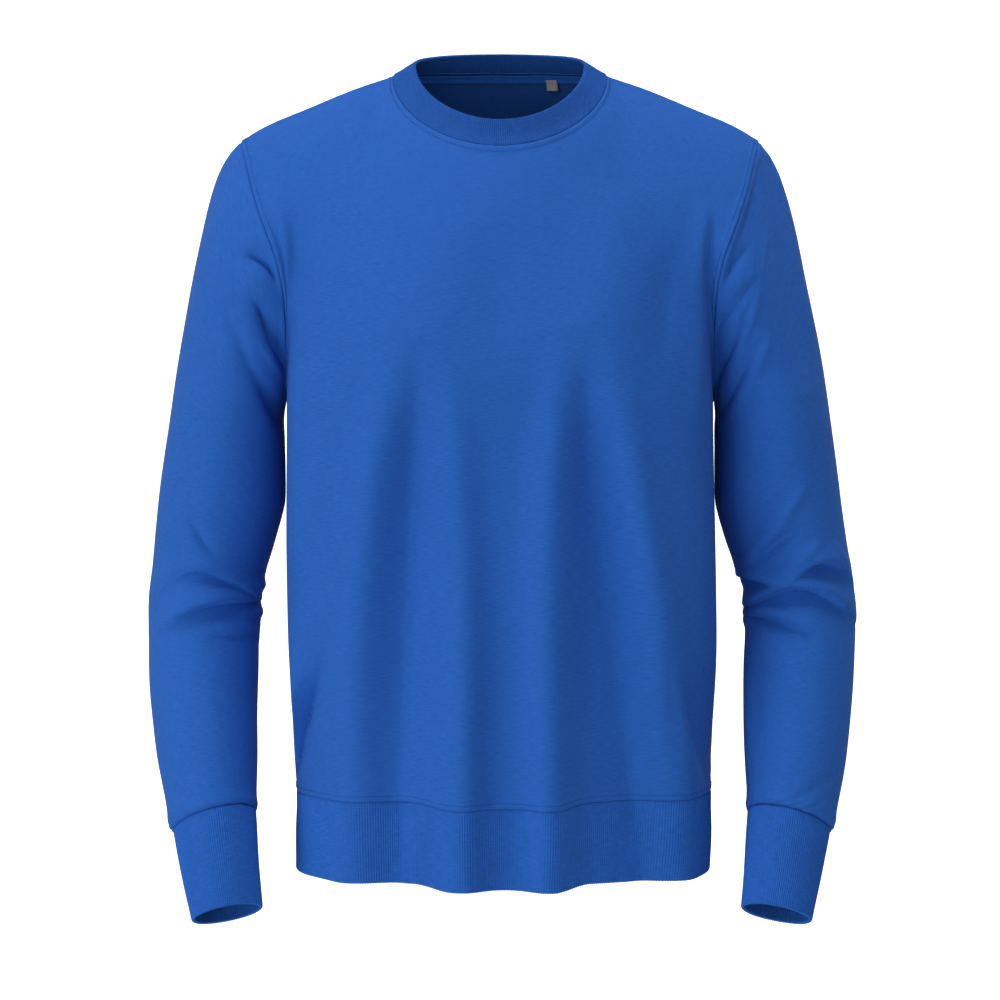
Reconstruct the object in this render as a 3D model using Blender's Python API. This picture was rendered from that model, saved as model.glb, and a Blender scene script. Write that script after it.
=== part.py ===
"""Crewneck sweatshirt in fleece, filled out on a general figure, with its sleeves at its sides.

Metres, +Z up. The front faces -Y and the wearer's right arm is at -X. The origin is the centre of the
neck's base, at the height of the neck points of the shoulders, where the wearer holds the garment up.
"""
import math
from collections import namedtuple

import bpy
import numpy as np

# ---------------------------------------------------------------- driving dimensions (metres)
CLOTH = 0.0020                  # thickness of the fleece walls
RIB = 0.0026                    # thickness of the doubled rib
TAPE = 0.0009                   # thickness of the neck tape
SEAM_GAP = 0.0003               # space between two pieces at a seam
ALLOWANCE = 0.0009              # height of a turned seam allowance under its topstitch
ALLOWANCE_WIDTH = 0.0052        # from the seam to the topstitch
ALLOWANCE_SLOPE = 0.0016        # width of the step at the topstitch
TAPE_WIDTH = 0.0080
TAPE_INSET = 0.0007             # from the neckline seam to the tape's upper edge
TAB_WIDTH = 0.0105
TAB_HEIGHT = 0.0098
TAB_DROP = 0.0062               # how far the size tab hangs below the tape
TAB_THICKNESS = 0.0006
LYING_GAP = 0.0008              # space under the tape and under the tab
TAB_X = 0.0465                  # where the size tab hangs, right of the middle

HEM_SEAM_Z = -0.612
HEM_EDGE_Z = -0.678
UNDERARM_ROW_Z = -0.306         # the row from which the sides turn out to the underarm
MITRE_UP_TO = 30.0              # half the angle of a seam's fold, up to which its two walls are mitred
FOLDED_FROM = 50.0              # and from which they lie face to face
NECK_POINT = (0.0925, 0.004, 0.000)
NECK_RISE = 32.0                # slope of the cloth across the shoulder seam at the neck point, degrees
SHOULDER_RISE = 12.0            # the same at the shoulder point

# grid counts
NECK_COLUMNS = 7                # from the middle of the neckline to the neck point
SHOULDER_COLUMNS = 9            # from the neck point to the shoulder point
SIDE_ROWS = 8                   # from the hem seam to the underarm
ARMHOLE_ROWS = 12               # from the underarm to the shoulder point
UPPER_SEAM_ROWS = 7             # of those, how many rows the armhole seam's allowance shows on
CUFF_ROWS = 3
HEM_ROWS = 3
NECK_RIB_ROWS = 3

# ---------------------------------------------------------------- tables
# Level sections of the body below the underarm: a front and a back half meet at the side seams.
Level = namedtuple("Level", "z mid_x half_width front back side_y square pinch")
BODY = [
    Level(-0.678, 0.0025, 0.1765, 0.122, 0.112, 0.004, 2.70, 0.0),
    Level(-0.645, 0.0030, 0.1768, 0.126, 0.115, 0.004, 2.70, 0.0),
    Level(-0.612, 0.0030, 0.1765, 0.129, 0.118, 0.004, 2.70, 0.0),
    Level(-0.560, 0.0030, 0.1795, 0.133, 0.121, 0.004, 2.75, 0.0),
    Level(-0.480, 0.0020, 0.1832, 0.134, 0.122, 0.004, 2.85, 0.0008),
    Level(-0.400, 0.0008, 0.1838, 0.133, 0.121, 0.004, 2.95, 0.0025),
    Level(-0.330, 0.0000, 0.1834, 0.131, 0.119, 0.004, 3.00, 0.0038),
    Level(-0.288, 0.0000, 0.1830, 0.130, 0.118, 0.004, 3.00, 0.0038),
]
PINCH_WIDTH = 0.045             # half the width of the stretch that the arm presses in at the side

# The armhole of the side at +X, from the shoulder point down the front, under the arm and up the back.
Point = namedtuple("Point", "x y z")
ARMHOLE = [
    Point(0.2235, 0.006, -0.056),
    Point(0.2160, -0.024, -0.080),
    Point(0.2080, -0.046, -0.107),
    Point(0.1985, -0.062, -0.134),
    Point(0.1895, -0.071, -0.156),
    Point(0.1825, -0.070, -0.182),
    Point(0.1800, -0.056, -0.216),
    Point(0.1815, -0.035, -0.246),
    Point(0.1842, -0.014, -0.269),
    Point(0.1844, 0.006, -0.275),
    Point(0.1846, 0.030, -0.265),
    Point(0.1836, 0.052, -0.238),
    Point(0.1850, 0.068, -0.200),
    Point(0.1915, 0.072, -0.160),
    Point(0.2035, 0.060, -0.116),
    Point(0.2145, 0.036, -0.081),
]

# The shoulder seam of the side at +X, between the neck point and the shoulder point.
SHOULDER = [
    Point(0.1260, 0.005, -0.0112),
    Point(0.1650, 0.006, -0.0270),
    Point(0.2020, 0.006, -0.0425),
]

# Sections of the sleeve of the side at +X, each across the arm: where its outer and inner ends lie seen
# from the front, the place of its middle in depth, half its depth and how far it pitches forward.
Section = namedtuple("Section", "outer_x outer_z inner_x inner_z mid_y half_depth pitch")
SLEEVE = [
    Section(0.2235, -0.056, 0.1844, -0.275, 0.004, 0.074, 0),
    Section(0.2375, -0.073, 0.1860, -0.279, 0.006, 0.078, 0),
    Section(0.2480, -0.099, 0.1866, -0.283, 0.007, 0.080, 0),
    Section(0.2565, -0.131, 0.1870, -0.289, 0.009, 0.080, 0),
    Section(0.2650, -0.174, 0.1874, -0.297, 0.011, 0.079, 0),
    Section(0.2750, -0.230, 0.1877, -0.311, 0.013, 0.077, 0),
    Section(0.2840, -0.286, 0.1878, -0.331, 0.014, 0.075, 1),
    Section(0.2920, -0.345, 0.1880, -0.364, 0.015, 0.072, 3),
    Section(0.2975, -0.392, 0.1960, -0.397, 0.016, 0.069, 6),
    Section(0.3005, -0.425, 0.2040, -0.424, 0.016, 0.066, 10),
    Section(0.3035, -0.455, 0.2085, -0.450, 0.013, 0.063, 14),
    Section(0.3025, -0.490, 0.2100, -0.481, 0.005, 0.060, 18),
    Section(0.2985, -0.535, 0.2090, -0.522, -0.010, 0.056, 20),
    Section(0.2905, -0.585, 0.2080, -0.569, -0.028, 0.050, 21),
    Section(0.2810, -0.625, 0.2065, -0.606, -0.043, 0.044, 22),
    Section(0.2785, -0.637, 0.2060, -0.618, -0.048, 0.042, 22),
    Section(0.2735, -0.644, 0.2075, -0.625, -0.051, 0.038, 22),
]
CUFF = [
    Section(0.2735, -0.644, 0.2075, -0.625, -0.051, 0.038, 22),
    Section(0.2695, -0.660, 0.2055, -0.642, -0.057, 0.036, 22),
    Section(0.2620, -0.688, 0.2025, -0.674, -0.068, 0.031, 22),
    Section(0.2550, -0.714, 0.1990, -0.702, -0.078, 0.027, 22),
]
SPLAY = {"left": 0.0, "right": 0.0028}      # how much further out the forearm is held
SPLAY_FROM_Z = -0.36
SPLAY_FULL_Z = -0.46

# Soft folds that fall down the body: three places on the way down, half the width on the side of -X and of
# +X, the height above the cloth in the middle and at the low end, and how high up the fold starts.
Fold = namedtuple("Fold", "x1 z1 x2 z2 x3 z3 near far middle low start_z")
FRONT_FOLDS = [
    Fold(-0.080, -0.240, -0.104, -0.364, -0.120, -0.560, 0.0220, 0.0200, 0.0160, 0.0140, -0.212),
    Fold(-0.045, -0.240, -0.034, -0.364, -0.030, -0.560, 0.0190, 0.0175, 0.0115, 0.0175, -0.225),
    Fold(0.053, -0.240, 0.042, -0.364, 0.039, -0.560, 0.0180, 0.0225, 0.0150, 0.0210, -0.205),
    Fold(0.086, -0.240, 0.111, -0.364, 0.150, -0.560, 0.0190, 0.0210, 0.0145, 0.0165, -0.220),
    Fold(-0.068, -0.140, -0.073, -0.200, -0.084, -0.330, 0.0420, 0.0420, 0.0060, 0.0000, -0.110),
    Fold(0.094, -0.140, 0.086, -0.200, 0.078, -0.330, 0.0400, 0.0400, 0.0070, 0.0000, -0.110),
]
BACK_FOLDS = [
    Fold(-0.092, -0.250, -0.106, -0.364, -0.124, -0.560, 0.0230, 0.0210, 0.0140, 0.0130, -0.220),
    Fold(-0.030, -0.240, -0.037, -0.364, -0.046, -0.560, 0.0215, 0.0230, 0.0120, 0.0150, -0.235),
    Fold(0.040, -0.250, 0.038, -0.364, 0.039, -0.560, 0.0200, 0.0220, 0.0140, 0.0150, -0.225),
    Fold(0.092, -0.240, 0.106, -0.364, 0.122, -0.560, 0.0225, 0.0210, 0.0120, 0.0125, -0.240),
]
FOLD_GROWTH = 0.13              # length over which a fold rises from nothing to its height

# Creases across a sleeve: the height and the angle round the arm of the middle (0 is the inner side, 90
# the back, 180 the outer side, 270 the front), how much the crease rises over a quarter turn, half its
# width, half its length in degrees, and its depth.
Crease = namedtuple("Crease", "z angle rise width reach depth")
CREASES = [
    Crease(-0.404, 275, -0.016, 0.010, 45, 0.0030),
    Crease(-0.441, 300, -0.012, 0.011, 75, 0.0060),
    Crease(-0.473, 310, 0.004, 0.011, 65, 0.0050),
    Crease(-0.432, 60, 0.016, 0.012, 50, 0.0040),
    Crease(-0.462, 90, -0.012, 0.012, 45, 0.0030),
]

# Colour, roughness
BLUE = (0.020, 0.100, 0.460, 1.0)
RIB_BLUE = (0.019, 0.094, 0.430, 1.0)
TAB_GREY = (0.120, 0.120, 0.110, 1.0)


# ---------------------------------------------------------------- curves
def through(rows, places):
    """Catmull-Rom curve through the rows, read at places from 0 to 1."""
    rows = np.array(rows, dtype=float)
    ends = [2 * rows[0] - rows[1]], [2 * rows[-1] - rows[-2]]
    rows = np.concatenate([ends[0], rows, ends[1]])
    spans = len(rows) - 3
    at = np.clip(np.asarray(places, dtype=float), 0, 1) * spans
    first = np.minimum(at.astype(int), spans - 1)
    t = (at - first)[:, None]
    a, b, c, d = (rows[first + step] for step in range(4))
    return 0.5 * (2 * b + (c - a) * t + (2 * a - 5 * b + 4 * c - d) * t**2 + (3 * b - a - 3 * c + d) * t**3)


def even(points, count):
    """The same line with count equal steps along it."""
    steps = np.linalg.norm(np.diff(points, axis=0), axis=1)
    along = np.concatenate([[0], np.cumsum(steps)])
    wanted = np.linspace(0, along[-1], count + 1)
    return np.stack([np.interp(wanted, along, points[:, axis]) for axis in range(3)], axis=1)


def ease(value):
    """Smooth step from 0 to 1."""
    value = np.clip(value, 0, 1)
    return value * value * (3 - 2 * value)


FINE = np.linspace(0, 1, 400)
SPLIT_ALONG = np.array([1.0, 2.0, 3.0])


def armhole(side):
    """Front and back halves of the armhole, each from the underarm up to the shoulder point."""
    loop = np.array(ARMHOLE + ARMHOLE[:1])
    doubled = np.concatenate([loop[-4:-1], loop, loop[1:4]])
    line = through(doubled, (FINE * (len(loop) - 1) + 3) / (len(doubled) - 1))
    lowest = int(np.argmin(line[:, 2]))
    front = even(line[:lowest + 1], ARMHOLE_ROWS)[::-1]
    back = even(line[lowest:], ARMHOLE_ROWS)
    return front * (side, 1, 1), back * (side, 1, 1)


def neck_loop(radius_x, front_y, back_y, side_z, front_z, back_z, angle):
    """A loop round the neck: angle 0 is the middle of the back, 90 degrees the neck point at +X."""
    forward = np.cos(angle) < 0
    lean = np.abs(np.cos(angle))
    x = radius_x * np.sin(angle)
    y = NECK_POINT[1] + lean * np.where(forward, front_y - NECK_POINT[1], back_y - NECK_POINT[1])
    z = side_z + np.where(forward, (front_z - side_z) * lean**1.10, (back_z - side_z) * lean**0.85)
    return np.stack([x, y, z], axis=1)


def neckline(angle):
    """Seam between the body and the neck rib."""
    return neck_loop(NECK_POINT[0], -0.086, 0.074, NECK_POINT[2], -0.0725, 0.0148, angle)


def neck_edge(angle):
    """Folded edge of the neck rib."""
    return neck_loop(0.0740, -0.0805, 0.064, 0.0100, -0.0505, 0.0300, angle)


def shoulder(side):
    """Shoulder seam, from the neck point to the shoulder point."""
    line = through([NECK_POINT, *SHOULDER, ARMHOLE[0]], FINE)
    return even(line, SHOULDER_COLUMNS) * (side, 1, 1)


def neck_angles(front, columns):
    """Angles of the neckline columns of one panel, from the neck point at -X to the one at +X."""
    half = math.pi / 2
    turn = np.linspace(-half, half, 2 * columns + 1)
    return math.pi - turn if front else turn


def top_edge(front):
    """Shoulder seams and neckline of one panel, from -X to +X."""
    neck = neckline(neck_angles(front, NECK_COLUMNS))
    return np.concatenate([shoulder(-1)[:0:-1], neck, shoulder(1)[1:]])


# ---------------------------------------------------------------- panels of the body
COLUMNS = 2 * (NECK_COLUMNS + SHOULDER_COLUMNS)
ACROSS = np.linspace(-1, 1, COLUMNS + 1)
NECK = [SHOULDER_COLUMNS, SHOULDER_COLUMNS + 2 * NECK_COLUMNS]     # columns of the two neck points
NECK_SPAN = slice(NECK[0], NECK[1] + 1)


def level_line(place, front):
    """Half of a level section of the body, from the side seam at -X to the one at +X."""
    z, mid_x, half_width, depth_front, depth_back, side_y, square, pinch = through(BODY, [place])[0]
    depth = -depth_front if front else depth_back
    turn = np.linspace(-math.pi / 2, math.pi / 2, 400)
    x = mid_x + half_width * np.sign(np.sin(turn)) * np.abs(np.sin(turn)) ** (2 / square)
    y = side_y + (depth - side_y) * np.abs(np.cos(turn)) ** (2 / square)
    x -= pinch * np.sin(turn) * np.exp(-(((y - side_y) / PINCH_WIDTH) ** 2))
    return even(np.stack([x, y, np.full_like(x, z)], axis=1), COLUMNS)


def body_place(z):
    """Place in the table of body levels that has the height z."""
    fine = np.linspace(0, 1, 200)
    return np.interp(z, through(BODY, fine)[:, 0], fine)


def folds(points, rows):
    """How far each point is pushed out by the folds."""
    push = np.zeros(points.shape[:-1])
    for fold in rows:
        places = np.array([fold.z1, fold.z2, fold.z3]), np.array([fold.x1, fold.x2, fold.x3])
        height = np.clip(points[..., 2], fold.z3, 0)
        middle = np.polyval(np.polyfit(*places, 2), height)
        grown = ease((fold.start_z - points[..., 2]) / FOLD_GROWTH)
        lowered = ease((fold.z2 - points[..., 2]) / (fold.z2 - fold.z3))
        size = grown * (fold.middle + (fold.low - fold.middle) * lowered)
        aside = points[..., 0] - middle
        width = np.where(aside < 0, fold.near, fold.far)
        push += size * (np.exp(-((aside / width) ** 2)) - 0.35 * np.exp(-((aside / (2.6 * width)) ** 2)))
    return push


def arrivals(front):
    """Directions in the cloth, square to the shoulder seams and the neckline and leading out of the panel."""
    columns = abs(ACROSS) * COLUMNS / 2
    from_neck = np.clip((columns - NECK_COLUMNS) / SHOULDER_COLUMNS, 0, 1)
    rise = np.radians(NECK_RISE + (SHOULDER_RISE - NECK_RISE) * from_neck)
    backward = 1 if front else -1
    leading = np.stack([0 * rise, backward * np.cos(rise), backward * np.sin(rise)], axis=1)
    angle = neck_angles(front, NECK_COLUMNS)
    level_middle, level_side = (0.42, 0.90) if front else (0.50, 0.90)
    level = level_middle + (level_side - level_middle) * np.sin(angle) ** 2
    inward = np.stack([-level * np.sin(angle), -level * np.cos(angle), np.sqrt(1 - level**2)], axis=1)
    inward[[0, -1]] = 0.5 * (inward[[0, -1]] + leading[NECK])
    leading[NECK_SPAN] = inward
    return leading


def fair(grid, free):
    """Moves the free points of a grid so that its second differences are as small as can be."""
    rows, columns = grid.shape[:2]
    number = np.arange(rows * columns).reshape(rows, columns)
    plain, cross = np.array([1.0, -2.0, 1.0]), np.array([1.0, -1.0, -1.0, 1.0]) * math.sqrt(2)
    stencils = [
        (plain, [number[:-2], number[1:-1], number[2:]]),
        (plain, [number[:, :-2], number[:, 1:-1], number[:, 2:]]),
        (cross, [number[:-1, :-1], number[:-1, 1:], number[1:, :-1], number[1:, 1:]]),
    ]
    blocks = []
    for weights, corners in stencils:
        block = np.zeros((corners[0].size, rows * columns))
        for weight, corner in zip(weights, corners):
            block[np.arange(corner.size), corner.ravel()] += weight
        blocks.append(block)
    matrix = np.concatenate(blocks)
    flat, loose = grid.reshape(-1, 3).copy(), free.ravel()
    known = matrix[:, ~loose] @ flat[~loose]
    flat[loose] = np.linalg.lstsq(matrix[:, loose], -known, rcond=None)[0]
    return flat.reshape(grid.shape)


def upper_lines(front):
    """Upper part of a panel, from the underarm level up to the shoulder seams and the neckline.

    Its four sides are given, with one row beyond the lower and the upper side that sets the slope there.
    """
    edges = [armhole(side)[0 if front else 1] for side in (-1, 1)]
    base, top = level_line(1.0, front), top_edge(front)
    lift = (edges[0][0][2] - base[0][2]) * abs(ACROSS) ** 4
    base[:, 2] += lift
    base[0], base[-1] = edges[0][0], edges[1][0]
    step = np.linalg.norm(top - base, axis=1)[:, None] / ARMHOLE_ROWS
    grid = np.zeros((ARMHOLE_ROWS + 3, COLUMNS + 1, 3))
    grid[0] = base - step * (0, 0, 1)
    grid[1] = base
    grid[-2] = top
    grid[-1] = top + step * arrivals(front)
    grid[1:-1, 0], grid[1:-1, -1] = edges
    free = np.zeros(grid.shape[:2], dtype=bool)
    free[2:-2, 1:-1] = True
    return fair(grid, free)[1:-1]


def panel(front):
    """Middle surface of the front or back, as rows from the hem seam up and columns from -X to +X."""
    heights = np.linspace(HEM_SEAM_Z, UNDERARM_ROW_Z, SIDE_ROWS)
    step = HEM_SEAM_Z + ALLOWANCE_WIDTH
    heights = np.insert(heights, 1, [step, step + ALLOWANCE_SLOPE])
    lower = np.array([level_line(body_place(z), front) for z in heights])
    return fold_grid(np.concatenate([lower, upper_lines(front)]), front)


def fold_grid(grid, front):
    """The grid with the folds of its side pushed out, none at the side seams."""
    normals = grid_normals(grid, False) * (1 if front else -1)
    across = np.linspace(-1, 1, grid.shape[1])
    fade = 1 - abs(across) ** 6
    push = folds(grid, FRONT_FOLDS if front else BACK_FOLDS) * fade
    return grid + normals * push[..., None]


def hem_ring():
    """Middle surface of the hem rib: rows from the lower edge up, columns round the body."""
    heights = np.linspace(HEM_EDGE_Z, HEM_SEAM_Z, HEM_ROWS + 1)
    halves = []
    for front in (True, False):
        rows = np.array([level_line(body_place(z), front) for z in heights])
        halves.append(fold_grid(rows, front))
    return np.concatenate([halves[0][:, :-1], halves[1][:, :0:-1]], axis=1)


# ---------------------------------------------------------------- sleeves and ribs
def ring(section, count_front, side):
    """Points round a sleeve section: up the back from the inner end, over the outer end, down the front."""
    outer_x, outer_z, inner_x, inner_z, mid_y, half_depth, pitch = section
    angle = np.linspace(0, 2 * math.pi, 2 * count_front + 1)[:-1]
    middle = np.array([(outer_x + inner_x) / 2, mid_y, (outer_z + inner_z) / 2])
    across = np.array([(outer_x - inner_x) / 2, 0, (outer_z - inner_z) / 2])
    lean = math.radians(pitch)
    depth = half_depth * np.array([0, math.cos(lean), -math.sin(lean)])
    points = middle - np.cos(angle)[:, None] * across + np.sin(angle)[:, None] * depth
    return points * (side, 1, 1)


def sleeve(side_name):
    """Middle surface of a sleeve: rows from the armhole down to the cuff, columns round the arm."""
    side = 1 if side_name == "right" else -1
    sections = through(SLEEVE, sleeve_places())
    rows = np.array([ring(section, ARMHOLE_ROWS, side) for section in sections])
    front, back = armhole(side)
    seam = np.concatenate([back[:-1], front[:0:-1]])
    along = np.linspace(0, 1, len(rows))
    fade = (1 - ease(along / 0.34)) ** 1.5
    rows += (seam - rows[0])[None] * fade[:, None, None]
    rows = crease_rows(rows)
    return splay(rows, side_name)


def sleeve_places():
    """Where the rows of a sleeve lie in its table: close together at the elbow."""
    last = len(SLEEVE) - 1
    elbow_top, elbow_low = 7, 11
    cap = np.linspace(0, elbow_top, 11)
    elbow = np.linspace(elbow_top, elbow_low, 11)[1:]
    forearm = np.linspace(elbow_low, last, 6)[1:]
    return np.concatenate([cap, elbow, forearm]) / last


def crease_rows(rows):
    """The rows with the creases pressed in, none at the seams."""
    middle = rows.mean(axis=1, keepdims=True)
    outward = rows - middle
    outward /= np.linalg.norm(outward, axis=2, keepdims=True)
    degrees = np.linspace(0, 360, rows.shape[1] + 1)[:-1]
    push = np.zeros(rows.shape[:2])
    for crease in CREASES:
        turn = (degrees - crease.angle + 180) % 360 - 180
        height = crease.z + crease.rise * turn / 90
        across = (rows[..., 2] - height) / crease.width
        reach = np.exp(-((turn / crease.reach) ** 2))
        push -= crease.depth * reach * (np.exp(-across**2) - 0.6 * np.exp(-((across + 2) ** 2)))
    return rows + outward * push[..., None]


def splay(points, side_name):
    """Moves the forearm of one side a little outward."""
    side = 1 if side_name == "right" else -1
    share = ease((SPLAY_FROM_Z - points[..., 2]) / (SPLAY_FROM_Z - SPLAY_FULL_Z))
    moved = points.copy()
    moved[..., 0] += side * SPLAY[side_name] * share
    return moved


def cuff(side_name):
    """Middle surface of a cuff: rows from its seam to its edge."""
    side = 1 if side_name == "right" else -1
    sections = through(CUFF, np.linspace(0, 1, CUFF_ROWS + 1))
    rows = np.array([ring(section, ARMHOLE_ROWS, side) for section in sections])
    return splay(rows, side_name)


def neck_band():
    """Middle surface of the neck rib: rows from its folded edge down to the neckline."""
    angles = np.concatenate([neck_angles(True, NECK_COLUMNS)[:-1], neck_angles(False, NECK_COLUMNS)[:0:-1]])
    edge, seam = neck_edge(angles), neckline(angles)
    rows = []
    for t in np.linspace(0, 1, NECK_RIB_ROWS + 1):
        bulge = 0.0022 * math.sin(math.pi * t)
        row = edge + (seam - edge) * t
        row[:, 2] += bulge
        rows.append(row)
    return np.array(rows)[::-1]


# ---------------------------------------------------------------- walls
def grid_normals(grid, closed):
    """Unit normals at the points of a grid, from the faces round each."""
    total = np.zeros_like(grid)
    rows, columns = grid.shape[:2]
    last = columns if closed else columns - 1
    index = np.arange(last)
    after = (index + 1) % columns
    for row in range(rows - 1):
        a, b = grid[row, index], grid[row, after]
        c, d = grid[row + 1, after], grid[row + 1, index]
        face = np.cross(c - a, d - b)
        for r, i in ((row, index), (row, after), (row + 1, after), (row + 1, index)):
            np.add.at(total[r], i, face)
    length = np.linalg.norm(total, axis=2, keepdims=True)
    return total / np.maximum(length, 1e-12)


def step_back(edge, inside, closed):
    """Half the seam gap, in the piece and square to its edge."""
    if closed:
        along = np.roll(edge, -1, axis=0) - np.roll(edge, 1, axis=0)
    else:
        along = np.gradient(edge, axis=0)
    along /= np.linalg.norm(along, axis=1, keepdims=True)
    step = inside - edge
    step -= along * np.sum(step * along, axis=1, keepdims=True)
    return SEAM_GAP / 2 * step / np.linalg.norm(step, axis=1, keepdims=True)


def edge_pull(grid, closed, free_edges):
    """Moves the points at each seam back from it, along the piece."""
    moved = grid.copy()
    if "first" not in free_edges:
        moved[0] += step_back(grid[0], grid[1], closed)
    if "last" not in free_edges:
        moved[-1] += step_back(grid[-1], grid[-2], closed)
    if not closed:
        moved[:, 0] += step_back(grid[:, 0], grid[:, 1], False)
        moved[:, -1] += step_back(grid[:, -1], grid[:, -2], False)
    return moved


def family(name):
    """Front and back are one tube at their side and shoulder seams; every other piece stands for itself."""
    return "body" if name.endswith("panel") else name


def unit(vectors):
    return vectors / np.maximum(np.linalg.norm(vectors, axis=-1, keepdims=True), 1e-12)


def point_key(point):
    return tuple(np.round(point, 5))


def shared_normals(pieces):
    """Normals of every piece, and how far its seam points move aside.

    Where pieces meet nearly flat they share one normal, as in a mitre. Where they are folded face to face,
    as under the arm, each keeps its own and stands half a wall and half a gap aside.
    """
    sums = {}
    for name, piece in pieces.items():
        piece["normals"] = grid_normals(piece["grid"], piece["closed"]) * piece["flip"]
        for point, normal in zip(piece["grid"].reshape(-1, 3), piece["normals"].reshape(-1, 3)):
            at_point = sums.setdefault(point_key(point), {})
            at_point[family(name)] = at_point.get(family(name), 0) + normal
    for name, piece in pieces.items():
        normals, aside = [], []
        for point in piece["grid"].reshape(-1, 3):
            at_point = sums[point_key(point)]
            own = unit(at_point[family(name)])
            others = [unit(normal) for key, normal in at_point.items() if key != family(name)]
            if not others:
                normals.append(own)
                aside.append(np.zeros(3))
                continue
            other = unit(sum(others))
            half_fold = math.degrees(math.acos(np.clip(own @ other, -1, 1))) / 2
            folded = ease((half_fold - MITRE_UP_TO) / (FOLDED_FROM - MITRE_UP_TO))
            normal = unit(own * folded + unit(own + other) * (1 - folded))
            away = unit(other - own)
            normals.append(normal)
            aside.append(away * (piece["thick"] / 2 * max(0.0, -normal @ away) + SEAM_GAP / 2) * (folded > 0))
        piece["normals"] = np.array(normals).reshape(piece["grid"].shape)
        piece["aside"] = np.array(aside).reshape(piece["grid"].shape)


def end_faces(points, outer_a, outer_b, inner_a, inner_b):
    """Two triangles across a wall's edge, split the same way on both sides of a seam."""
    if (points[outer_a] - points[outer_b]) @ SPLIT_ALONG > 0:
        return [(outer_a, outer_b, inner_a), (inner_a, outer_b, inner_b)]
    return [(outer_a, outer_b, inner_b), (outer_a, inner_b, inner_a)]


def wall_faces(points, rows, columns, closed):
    """Faces of a closed wall whose outer points come first and inner points follow."""
    inner = rows * columns
    spans = columns if closed else columns - 1
    faces = []
    for r in range(rows - 1):
        for c in range(spans):
            n = (c + 1) % columns
            a, b, d, e = r * columns + c, r * columns + n, (r + 1) * columns + n, (r + 1) * columns + c
            rising = np.linalg.norm(points[a] - points[d]) <= np.linalg.norm(points[b] - points[e]) + 1e-7
            halves = [(a, b, d), (a, d, e)] if rising else [(a, b, e), (b, d, e)]
            faces += halves
            faces += [tuple(inner + i for i in half[::-1]) for half in halves]
    for c in range(spans):
        n = (c + 1) % columns
        top = (rows - 1) * columns
        faces += end_faces(points, n, c, inner + n, inner + c)
        faces += end_faces(points, top + c, top + n, inner + top + c, inner + top + n)
    if not closed:
        for r in range(rows - 1):
            low, high = r * columns, (r + 1) * columns
            faces += end_faces(points, low, high, inner + low, inner + high)
            low, high = low + columns - 1, high + columns - 1
            faces += end_faces(points, high, low, inner + high, inner + low)
    return faces


def add_mesh(name, points, faces, material):
    mesh = bpy.data.meshes.new(name)
    mesh.from_pydata([tuple(point) for point in points], [], faces)
    mesh.materials.append(material)
    mesh.validate()
    mesh.shade_smooth()
    mesh.set_sharp_from_angle(angle=math.radians(50))
    piece = bpy.data.objects.new(name, mesh)
    PARTS.objects.link(piece)
    return piece


def add_wall(name, outer, inner, closed, flip, material):
    """A closed wall between an outer and an inner grid."""
    rows, columns = outer.shape[:2]
    points = np.concatenate([outer.reshape(-1, 3), inner.reshape(-1, 3)])
    faces = wall_faces(points, rows, columns, closed)
    if flip < 0:
        faces = [face[::-1] for face in faces]
    return add_mesh(name, points, faces, material)


def cloth_material(name, colour, roughness):
    material = bpy.data.materials.new(name)
    material.use_nodes = True
    shader = material.node_tree.nodes["Principled BSDF"]
    shader.inputs["Base Color"].default_value = colour
    shader.inputs["Roughness"].default_value = roughness
    shader.inputs["Metallic"].default_value = 0.0
    return material


# ---------------------------------------------------------------- the garment
def garment_pieces():
    """Grids of all the sewn pieces, with what their walls need."""
    front, back = panel(True), panel(False)
    hem = hem_ring()
    count = front.shape[1] - 1
    hem[-1, :count] = front[0, :-1]
    hem[-1, count:] = back[0, :0:-1]
    pieces = {
        "front_panel": dict(grid=front, closed=False, flip=1, free=(), thick=CLOTH),
        "back_panel": dict(grid=back, closed=False, flip=-1, free=(), thick=CLOTH),
        "hem_rib": dict(grid=hem, closed=True, flip=1, free=("first",), thick=RIB),
        "neck_rib": dict(grid=neck_band(), closed=True, flip=1, free=("last",), thick=RIB),
    }
    for side, flip in (("left", -1), ("right", 1)):
        arm, wrist = sleeve(side), cuff(side)
        wrist[0] = arm[-1]
        pieces[f"sleeve_{side}"] = dict(grid=arm, closed=True, flip=flip, free=(), thick=CLOTH)
        pieces[f"cuff_{side}"] = dict(grid=wrist, closed=True, flip=flip, free=("last",), thick=RIB)
    shared_normals(pieces)
    return pieces


def seam_ridges(name, shape):
    """Extra height of the outer points where a turned seam allowance lies under the cloth."""
    raised = np.zeros(shape[:2])
    if name in ("front_panel", "back_panel"):
        raised[:2] = ALLOWANCE
        raised[-1, NECK_SPAN] = ALLOWANCE
        raised[-UPPER_SEAM_ROWS:, [0, -1]] = ALLOWANCE
    if name.startswith("sleeve"):
        raised[-1:] = ALLOWANCE
    return raised[..., None]


def build_walls(pieces, materials):
    """Adds every wall, and returns the inner grid of the back panel, which carries the tape."""
    inner_back = None
    for name, piece in pieces.items():
        grid = edge_pull(piece["grid"], piece["closed"], piece["free"]) + piece["aside"]
        half = piece["thick"] / 2
        raised = seam_ridges(name, grid.shape)
        outer = grid + piece["normals"] * (half + raised)
        inner = grid - piece["normals"] * half
        material = materials["rib" if "rib" in name or "cuff" in name else "fleece"]
        add_wall(name, outer, inner, piece["closed"], piece["flip"], material)
        if name == "back_panel":
            inner_back = inner
    return inner_back


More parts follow.
